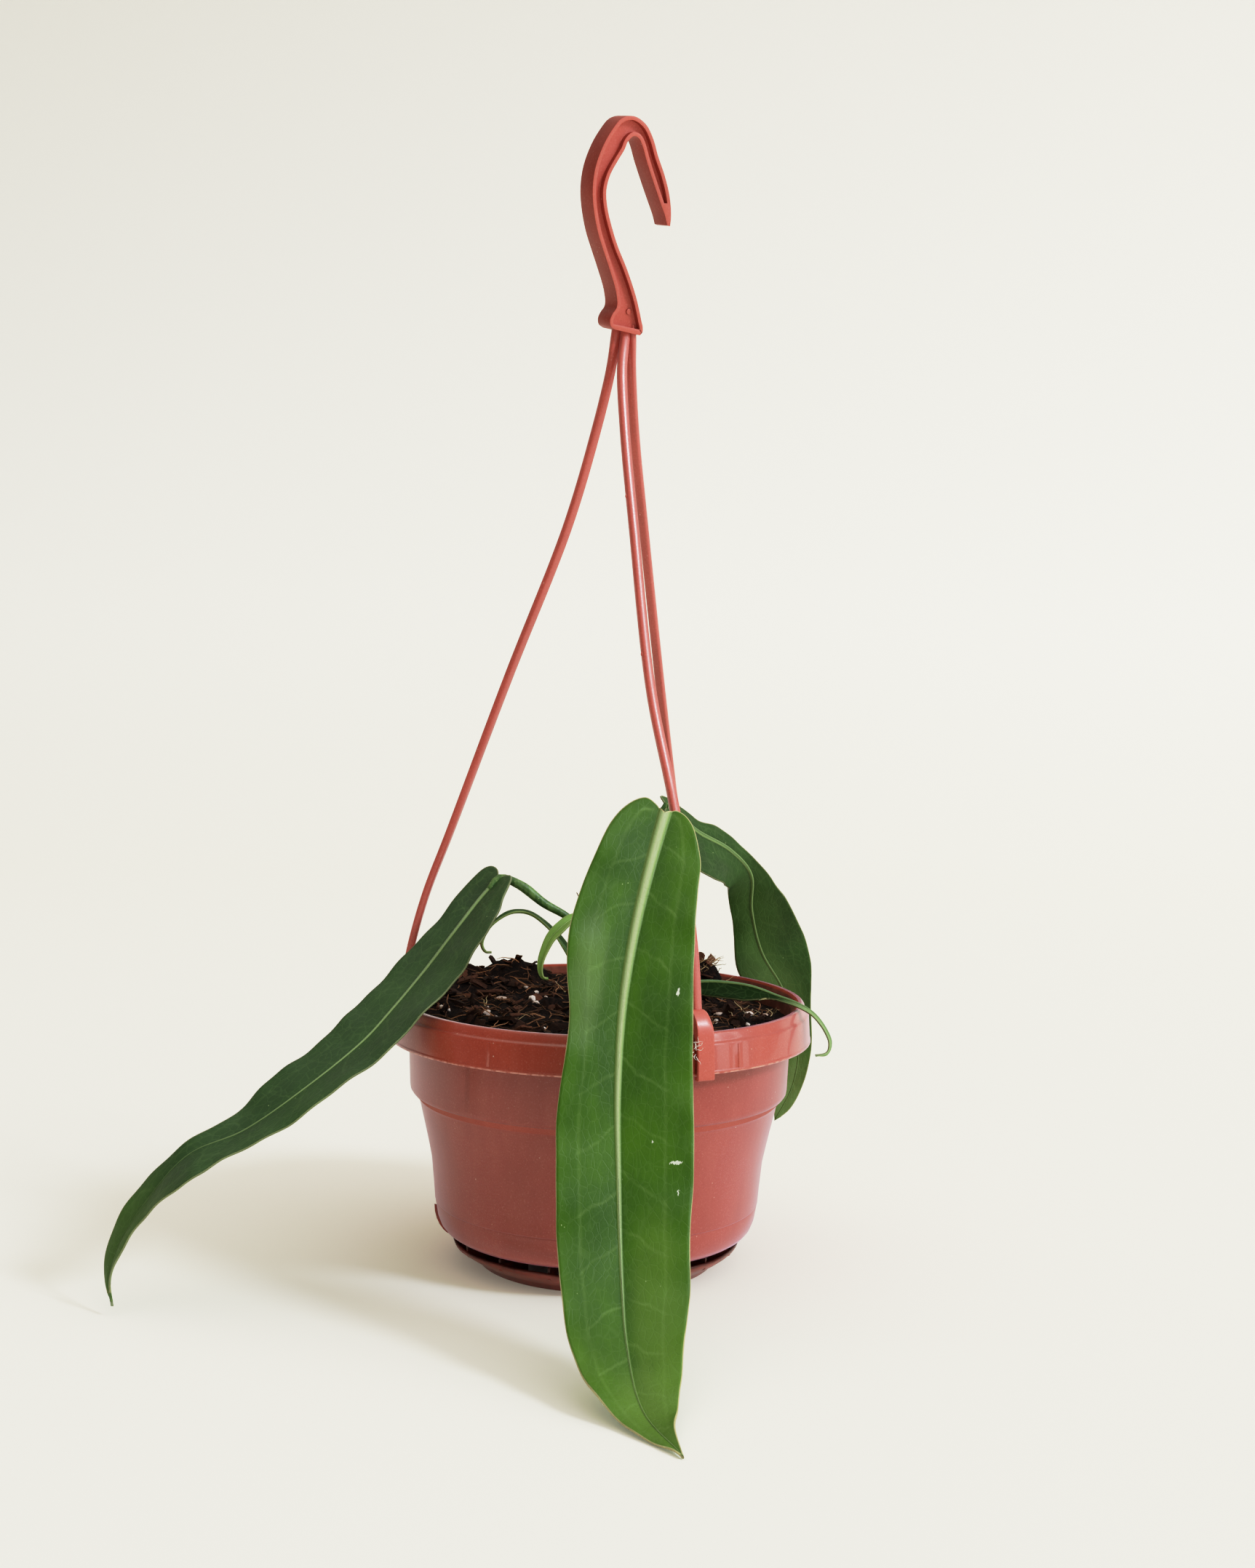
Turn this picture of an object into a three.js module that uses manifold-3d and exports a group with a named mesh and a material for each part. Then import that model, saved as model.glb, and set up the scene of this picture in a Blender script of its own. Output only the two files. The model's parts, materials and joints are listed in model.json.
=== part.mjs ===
import * as THREE from "three";
import { mergeVertices } from "three/addons/utils/BufferGeometryUtils.js";
import Module from "manifold-3d";

const wasm = await Module();
wasm.setup();

// Frame: millimetres, X to the right, Y away from the viewer, Z up.
// The origin is the centre of the saucer's underside, on the floor.

// Driving sizes
const gap = 0.3; // between touching pieces
const rimOuterRadius = 75;
const rimTopRadius = 71.6;
const rimTopHeight = 94.8;
const skirtBottomHeight = 81.4;
const potFloorUnderside = 11.2;
const saucerRimRadius = 51.3;
const saucerRimHeight = 8;
const saucerFootRadius = 42;
const ribCount = 16;
const mixLevel = 88;
const mixRise = 3.8; // towards the side at mixHighSide
const mixHighSide = 125; // degrees from +X
const hookThickness = 8;
const hookTurn = 33; // degrees, its left side shows from the front
const hookLean = 10; // degrees, its top comes forward
const strapWidth = 3;
const strapThickness = 2.6;
const clipWidth = 6.4;
const clipAngles = { left: 177, front: -63, back: 61 }; // degrees from +X
const bladeThickness = 0.7;
const roundSegments = 58;

const degrees = Math.PI / 180;
const v3 = (p) => new THREE.Vector3(p[0], p[1], p[2]);

// Solids

function toSolid(geometry) {
  const g = geometry.clone();
  g.deleteAttribute("normal");
  g.deleteAttribute("uv");
  const merged = mergeVertices(g, 1e-4);
  const vertProperties = merged.attributes.position.array;
  const triVerts = new Uint32Array(merged.index.array);
  const make = () =>
    new wasm.Manifold(
      new wasm.Mesh({ numProp: 3, vertProperties, triVerts }),
    );
  let solid = make();
  if (solid.volume() < 0) {
    for (let i = 0; i < triVerts.length; i += 3) {
      const second = triVerts[i + 1];
      triVerts[i + 1] = triVerts[i + 2];
      triVerts[i + 2] = second;
    }
    solid = make();
  }
  return solid;
}

function fromSolid(solid) {
  const mesh = solid.getMesh();
  const g = new THREE.BufferGeometry();
  const step = mesh.numProp;
  const count = mesh.vertProperties.length / step;
  const xyz = new Float32Array(count * 3);
  for (let i = 0; i < count; i += 1) {
    xyz[3 * i] = mesh.vertProperties[step * i];
    xyz[3 * i + 1] = mesh.vertProperties[step * i + 1];
    xyz[3 * i + 2] = mesh.vertProperties[step * i + 2];
  }
  g.setAttribute("position", new THREE.BufferAttribute(xyz, 3));
  g.setIndex(new THREE.BufferAttribute(new Uint32Array(mesh.triVerts), 1));
  g.computeVertexNormals();
  return g;
}

function meshFrom(points, faces) {
  const g = new THREE.BufferGeometry();
  const xyz = new Float32Array(points.length * 3);
  points.forEach((p, i) => xyz.set([p.x, p.y, p.z], 3 * i));
  g.setAttribute("position", new THREE.BufferAttribute(xyz, 3));
  g.setIndex(faces.flat());
  g.computeVertexNormals();
  return g;
}

// Rings of equal count joined to a closed body with a fan at each end.
function skin(rings) {
  const points = rings.flat();
  const n = rings[0].length;
  const faces = [];
  for (let r = 0; r + 1 < rings.length; r += 1)
    for (let k = 0; k < n; k += 1) {
      const a = r * n + k;
      const b = r * n + ((k + 1) % n);
      faces.push([a, b, b + n], [a, b + n, a + n]);
    }
  const middle = (ring) =>
    ring.reduce((s, p) => s.add(p), new THREE.Vector3()).multiplyScalar(1 / n);
  const first = points.length;
  points.push(middle(rings[0]), middle(rings[rings.length - 1]));
  const last = (rings.length - 1) * n;
  for (let k = 0; k < n; k += 1) {
    faces.push([first, (k + 1) % n, k]);
    faces.push([first + 1, last + k, last + ((k + 1) % n)]);
  }
  return meshFrom(points, faces);
}

// Round stalk along a smooth path, with a radius at each of its points.
function stalk(path, radii, sides = 8, steps = 16) {
  const curve = new THREE.CatmullRomCurve3(path.map(v3), false, "centripetal");
  const rings = [];
  let side = new THREE.Vector3(1, 0.2, 0.1);
  for (let i = 0; i <= steps; i += 1) {
    const t = i / steps;
    const centre = curve.getPointAt(t);
    const along = curve.getTangentAt(t);
    side = side.clone().addScaledVector(along, -side.dot(along)).normalize();
    const across = new THREE.Vector3().crossVectors(along, side);
    const where = t * (radii.length - 1);
    const low = Math.min(Math.floor(where), radii.length - 2);
    const radius = radii[low] + (radii[low + 1] - radii[low]) * (where - low);
    const ring = [];
    for (let k = 0; k < sides; k += 1) {
      const turn = (2 * Math.PI * k) / sides;
      ring.push(
        centre
          .clone()
          .addScaledVector(side, radius * Math.cos(turn))
          .addScaledVector(across, radius * Math.sin(turn)),
      );
    }
    rings.push(ring);
  }
  return skin(rings);
}

// A smooth line through rows of two numbers.
function smoothLine(rows) {
  const curve = new THREE.CatmullRomCurve3(
    rows.map((r) => new THREE.Vector3(r[0], r[1], 0)),
    false,
    "centripetal",
  );
  return (t) => curve.getPoint(t);
}

// Blade: a midrib path, the way its upper face looks, and the two edges in its own plane.
// Each edge row is [distance along the midrib, distance from it]. The first rows may lie
// behind the base, which gives the lobes.
function blade(spec) {
  const spine = new THREE.CatmullRomCurve3(
    spec.midrib.map(v3),
    false,
    "centripetal",
  );
  spine.arcLengthDivisions = 600;
  const length = spine.getLength();
  const frameAt = (u) => {
    const t = Math.min(Math.max(u / length, 0), 1);
    const centre = spine.getPointAt(t);
    const along = spine.getTangentAt(t);
    centre.addScaledVector(along, u - t * length);
    const facing = new THREE.Vector3();
    const f = spec.facing;
    let i = 0;
    while (i < f.length - 2 && f[i + 1][0] < t) i += 1;
    const w = Math.min(Math.max((t - f[i][0]) / (f[i + 1][0] - f[i][0]), 0), 1);
    facing.set(
      f[i][1] + (f[i + 1][1] - f[i][1]) * w,
      f[i][2] + (f[i + 1][2] - f[i][2]) * w,
      f[i][3] + (f[i + 1][3] - f[i][3]) * w,
    );
    const across = new THREE.Vector3().crossVectors(along, facing).normalize();
    const out = new THREE.Vector3().crossVectors(across, along);
    return { centre, across, out };
  };
  const rows = spec.rows;
  const half = spec.columns;
  const fold = spec.fold * degrees;
  const edges = [smoothLine(spec.leftEdge), smoothLine(spec.rightEdge)];
  // The midrib point that an edge point is joined to runs ahead of it at the base.
  const place = (row, column, sideIndex) => {
    const t = row / rows;
    const rib = length * (0.004 + 0.996 * t ** spec.spread);
    const edge = edges[sideIndex](t);
    const w = column / half;
    const u = rib + (edge.x - rib) * w;
    const v = edge.y * w;
    const f = frameAt(u);
    const lift = Math.abs(v) * Math.sin(fold) * (1 - 0.25 * w);
    return {
      point: f.centre
        .clone()
        .addScaledVector(f.across, v * Math.cos(fold))
        .addScaledVector(f.out, lift),
      out: f.out,
    };
  };
  const width = 2 * half + 1;
  const grid = [];
  for (let r = 0; r <= rows; r += 1)
    for (let k = -half; k <= half; k += 1)
      grid.push(
        k < 0 ? place(r, -k, 0) : k > 0 ? place(r, k, 1) : place(r, 0, 0),
      );
  // Normals of the middle surface
  const normals = grid.map(() => new THREE.Vector3());
  const cells = [];
  for (let r = 0; r < rows; r += 1)
    for (let k = 0; k < width - 1; k += 1) {
      const a = r * width + k;
      const b = a + 1;
      const c = b + width;
      const d = a + width;
      if (k < half) cells.push([a, b, c], [a, c, d]);
      else cells.push([a, b, d], [b, c, d]);
    }
  for (const [a, b, c] of cells) {
    const n = new THREE.Vector3().crossVectors(
      grid[b].point.clone().sub(grid[a].point),
      grid[c].point.clone().sub(grid[a].point),
    );
    for (const i of [a, b, c]) normals[i].add(n);
  }
  const flip = normals[half].dot(grid[half].out) < 0 ? -1 : 1;
  const points = [];
  for (const s of [0.5, -0.5])
    grid.forEach((g, i) => {
      const n = normals[i].clone().normalize().multiplyScalar(flip);
      points.push(g.point.clone().addScaledVector(n, s * bladeThickness));
    });
  const count = grid.length;
  const faces = [];
  const turn = (f) => (flip > 0 ? f : [f[0], f[2], f[1]]);
  for (const [a, b, c] of cells) {
    faces.push(turn([a, b, c]));
    faces.push(turn([a + count, c + count, b + count]));
  }
  const rim = [];
  for (let k = 0; k < width - 1; k += 1) rim.push([k, k + 1]);
  for (let r = 0; r < rows; r += 1)
    rim.push([r * width + width - 1, (r + 1) * width + width - 1]);
  for (let k = width - 1; k > 0; k -= 1)
    rim.push([rows * width + k, rows * width + k - 1]);
  for (let r = rows; r > 0; r -= 1) rim.push([r * width, (r - 1) * width]);
  for (const [a, b] of rim) {
    faces.push(turn([b, a, a + count]));
    faces.push(turn([b, a + count, b + count]));
  }
  return meshFrom(points, faces);
}

// Pot

const potProfile = [
  [0, potFloorUnderside],
  [50.4, potFloorUnderside],
  [52.5, 11.5],
  [54.2, 12.6],
  [55.5, 14.2],
  [56.6, 17],
  [57.5, 21.5],
  [58.2, 29.2],
  [59.3, 39.8],
  [61.1, 49.2],
  [62.6, 55.6],
  [65.9, 60.4],
  [66.7, 61.6],
  [67.1, 66],
  [67.6, 79],
  [68.2, 91.4],
  [73, 91.4],
  [rimOuterRadius - 1.5, skirtBottomHeight],
  [rimOuterRadius, skirtBottomHeight],
  [74.2, 90.8],
  [73.2, 92],
  [72.6, 94],
  [rimTopRadius, rimTopHeight],
  [70.2, rimTopHeight],
  [69.6, 94.2],
  [67.9, 92],
  [66.1, 79],
  [65.6, 66],
  [65.2, 62.2],
  [64.5, 61],
  [61.2, 56.3],
  [59.6, 49.6],
  [57.8, 40],
  [56.7, 29.4],
  [56, 21.8],
  [55.1, 17.6],
  [53.6, 14.6],
  [50.8, 12.9],
  [0, 12.9],
].map((p) => new THREE.Vector2(p[0], p[1]));
const pot = new THREE.LatheGeometry(potProfile, roundSegments).rotateX(Math.PI / 2);

// Inner radius of the pot at a height, for the mix that fills it
const innerWall = [
  [12.9, 50.8],
  [14.6, 53.6],
  [17.6, 55.1],
  [21.8, 56],
  [29.4, 56.7],
  [40, 57.8],
  [49.6, 59.6],
  [56.3, 61.2],
  [61, 64.5],
  [62.2, 65.2],
  [66, 65.6],
  [79, 66.1],
  [92, 67.9],
];
function innerRadius(z) {
  let i = 0;
  while (i < innerWall.length - 2 && innerWall[i + 1][0] < z) i += 1;
  const [z0, r0] = innerWall[i];
  const [z1, r1] = innerWall[i + 1];
  return r0 + ((r1 - r0) * (z - z0)) / (z1 - z0);
}

// Saucer: foot ring, sloping side, and ribs that stand in the slot under the pot

const saucerProfile = [
  [0, 0],
  [saucerFootRadius, 0],
  [43.2, 2.2],
  [47.6, 3.6],
  [50.6, 5.6],
  [saucerRimRadius, saucerRimHeight],
  [50, saucerRimHeight],
  [49.2, 6.4],
  [46.8, 5],
  [42.4, 3.7],
  [41.4, 1.8],
  [0, 1.8],
].map((p) => new THREE.Vector2(p[0], p[1]));
let saucerSolid = toSolid(
  new THREE.LatheGeometry(saucerProfile, roundSegments).rotateX(Math.PI / 2),
);
for (let i = 0; i < ribCount; i += 1) {
  const outline = new THREE.Shape();
  outline.moveTo(36, 1);
  outline.lineTo(47.4, 4.4);
  outline.lineTo(50.4, 7.2);
  outline.lineTo(50.4, potFloorUnderside - gap);
  outline.lineTo(36, potFloorUnderside - gap);
  outline.closePath();
  const rib = new THREE.ExtrudeGeometry(outline, {
    depth: 1,
    bevelEnabled: false,
  });
  rib.translate(0, 0, -0.5);
  rib.rotateX(Math.PI / 2);
  rib.rotateZ(((i * 360) / ribCount + 4.5) * degrees);
  saucerSolid = saucerSolid.add(toSolid(rib));
}

// Hanger

// Hook edges in the hook's own plane: [left x, left y, right x, right y] from foot to tip
const hookEdges = [
  [-8.3, 0.2, 3, 0.6],
  [-7.2, 3.6, 2.2, 3.2],
  [-8.4, 9.4, -0.2, 8.8],
  [-12, 16.6, -5.2, 17.6],
  [-15.2, 22.4, -9.6, 24.2],
  [-18.4, 28.5, -12.9, 30.3],
  [-21.1, 36.1, -15.7, 36.8],
  [-22.3, 42.6, -16.8, 42.2],
  [-22, 49.4, -16, 47.2],
  [-19.8, 56.7, -13.6, 52.2],
  [-17, 62, -11.4, 56.2],
  [-13.8, 66, -10.4, 59],
  [-9.2, 67.4, -8.3, 61],
  [-4, 65.4, -6.2, 60.6],
  [-0.4, 61.1, -4.4, 58.4],
  [2.4, 55.7, -2.2, 54],
  [6, 49.7, 1.3, 47.8],
  [9.1, 42.8, 4.8, 41.9],
  [10.5, 36.8, 7.9, 36.8],
  [10.6, 33.4, 9.4, 33.6],
];
const recessRim = 1.35;
const recessDepth = 3.1;
const hookOrigin = [4.6, 0, 332.4];

function band(rows, inset, perInterval) {
  const left = new THREE.CatmullRomCurve3(
    rows.map((r) => {
      const w = Math.hypot(r[2] - r[0], r[3] - r[1]);
      const k = inset / w;
      return new THREE.Vector3(
        r[0] + (r[2] - r[0]) * k,
        r[1] + (r[3] - r[1]) * k,
        0,
      );
    }),
    false,
    "centripetal",
  );
  const right = new THREE.CatmullRomCurve3(
    rows.map((r) => {
      const w = Math.hypot(r[2] - r[0], r[3] - r[1]);
      const k = inset / w;
      return new THREE.Vector3(
        r[2] + (r[0] - r[2]) * k,
        r[3] + (r[1] - r[3]) * k,
        0,
      );
    }),
    false,
    "centripetal",
  );
  const n = (rows.length - 1) * perInterval;
  const outline = [];
  for (let i = 0; i <= n; i += 1) outline.push(left.getPoint(i / n));
  for (let i = n; i >= 0; i -= 1) outline.push(right.getPoint(i / n));
  return new THREE.Shape(outline.map((p) => new THREE.Vector2(p.x, p.y)));
}

function slab(shape, from, to) {
  const g = new THREE.ExtrudeGeometry(shape, {
    depth: to - from,
    bevelEnabled: false,
  });
  g.translate(0, 0, from);
  return toSolid(g);
}

let hook = slab(band(hookEdges, 0, 3), -hookThickness / 2, hookThickness / 2);
const footShape = new THREE.Shape(
  [
    [-8.5, 0.9],
    [-8.3, -1.4],
    [-6.6, -3],
    [-2.1, -3.9],
    [3.2, -4],
    [4.4, -2.8],
    [4.2, -1],
    [2.8, 0.9],
  ].map((p) => new THREE.Vector2(p[0], p[1])),
);
hook = hook.add(slab(footShape, -hookThickness / 2, hookThickness / 2));
const recessRows = hookEdges.slice(3, 18);
for (const s of [-1, 1]) {
  const near = s * (hookThickness / 2 - recessDepth);
  const far = s * (hookThickness / 2 + 1);
  hook = hook.subtract(
    slab(band(recessRows, recessRim, 3), Math.min(near, far), Math.max(near, far)),
  );
}
const turn = hookTurn * degrees;
const lean = hookLean * degrees;
const hookAcross = new THREE.Vector3(Math.cos(turn), Math.sin(turn), 0);
const hookLevelNormal = new THREE.Vector3(Math.sin(turn), -Math.cos(turn), 0);
const hookUp = new THREE.Vector3(0, 0, Math.cos(lean)).addScaledVector(
  hookLevelNormal,
  Math.sin(lean),
);
const hookNormal = new THREE.Vector3().crossVectors(hookAcross, hookUp);
const hookFrame = new THREE.Matrix4()
  .makeBasis(hookAcross, hookUp, hookNormal)
  .setPosition(v3(hookOrigin));
const hookPlaced = toSolid(fromSolid(hook).applyMatrix4(hookFrame));

// Straps: the middle line of each from the hook's foot to its clip
const strapPaths = {
  left: [
    [1.2, 0.1, 331],
    [0.7, 0.1, 326.8],
    [-0.7, 0.2, 315.8],
    [-5.5, 0.6, 294.2],
    [-14.8, 1.2, 260.9],
    [-34.3, 2, 208.8],
    [-54.5, 3, 152.6],
    [-62.8, 3.3, 130],
    [-67.9, 3.6, 111],
    [-70.2, 3.7, 99.2],
  ],
  front: [
    [4, -0.6, 331],
    [4, -0.9, 326.8],
    [3.2, -4.1, 315.4],
    [4.6, -10.4, 293.5],
    [8.2, -19.7, 260.7],
    [15, -35.4, 205.6],
    [23.6, -46.6, 166.1],
    [30.2, -58.4, 121.8],
    [31.9, -62.9, 99.2],
  ],
  back: [
    [6, 0.5, 331],
    [6.3, 0.8, 327],
    [6.5, 3.7, 316.3],
    [8.1, 9.3, 295.2],
    [12.2, 18.2, 262.1],
    [20, 34, 203],
    [27.4, 47.6, 151],
    [32.4, 57, 115],
    [34.2, 61.8, 99.2],
  ],
};
// Clip section: [distance from the pot's axis, height], round the rim
const clipSection = [
  [65.9, 91.6],
  [67, 91.6],
  [69, 94.3],
  [69.9, 95.3],
  [71.8, 95.3],
  [73.1, 94.4],
  [73.7, 92.2],
  [74.7, 91],
  [75.4, 81],
  [74.2, 81],
  [74.2, 79.8],
  [76.8, 79.8],
  [76.9, 81.4],
  [76.2, 91.6],
  [75.2, 95],
  [73.4, 98.2],
  [71.8, 100.6],
  [69.8, 100.8],
  [68.2, 97.6],
  [66.6, 94.6],
];
let hangerSolid = hookPlaced;
for (const name of Object.keys(clipAngles)) {
  const angle = clipAngles[name] * degrees;
  const clip = new THREE.ExtrudeGeometry(
    new THREE.Shape(clipSection.map((p) => new THREE.Vector2(p[0], p[1]))),
    { depth: clipWidth, bevelEnabled: false },
  );
  clip.translate(0, 0, -clipWidth / 2);
  clip.rotateX(Math.PI / 2);
  clip.rotateZ(angle);
  hangerSolid = hangerSolid.add(toSolid(clip));
  const radial = new THREE.Vector3(Math.cos(angle), Math.sin(angle), 0);
  const path = new THREE.CatmullRomCurve3(
    strapPaths[name].map(v3),
    false,
    "centripetal",
  );
  const rings = [];
  const steps = 16;
  for (let i = 0; i <= steps; i += 1) {
    const centre = path.getPointAt(i / steps);
    const along = path.getTangentAt(i / steps);
    const out = radial.clone().addScaledVector(along, -radial.dot(along));
    out.normalize();
    const wide = new THREE.Vector3().crossVectors(along, out);
    const corner = (a, b) =>
      centre
        .clone()
        .addScaledVector(wide, (a * strapWidth) / 2)
        .addScaledVector(out, (b * strapThickness) / 2);
    const ring = [corner(-1, -1), corner(1, -1), corner(1, 1), corner(-1, 1)];
    rings.push(ring);
  }
  hangerSolid = hangerSolid.add(toSolid(skin(rings)));
}

// Leaves

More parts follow.
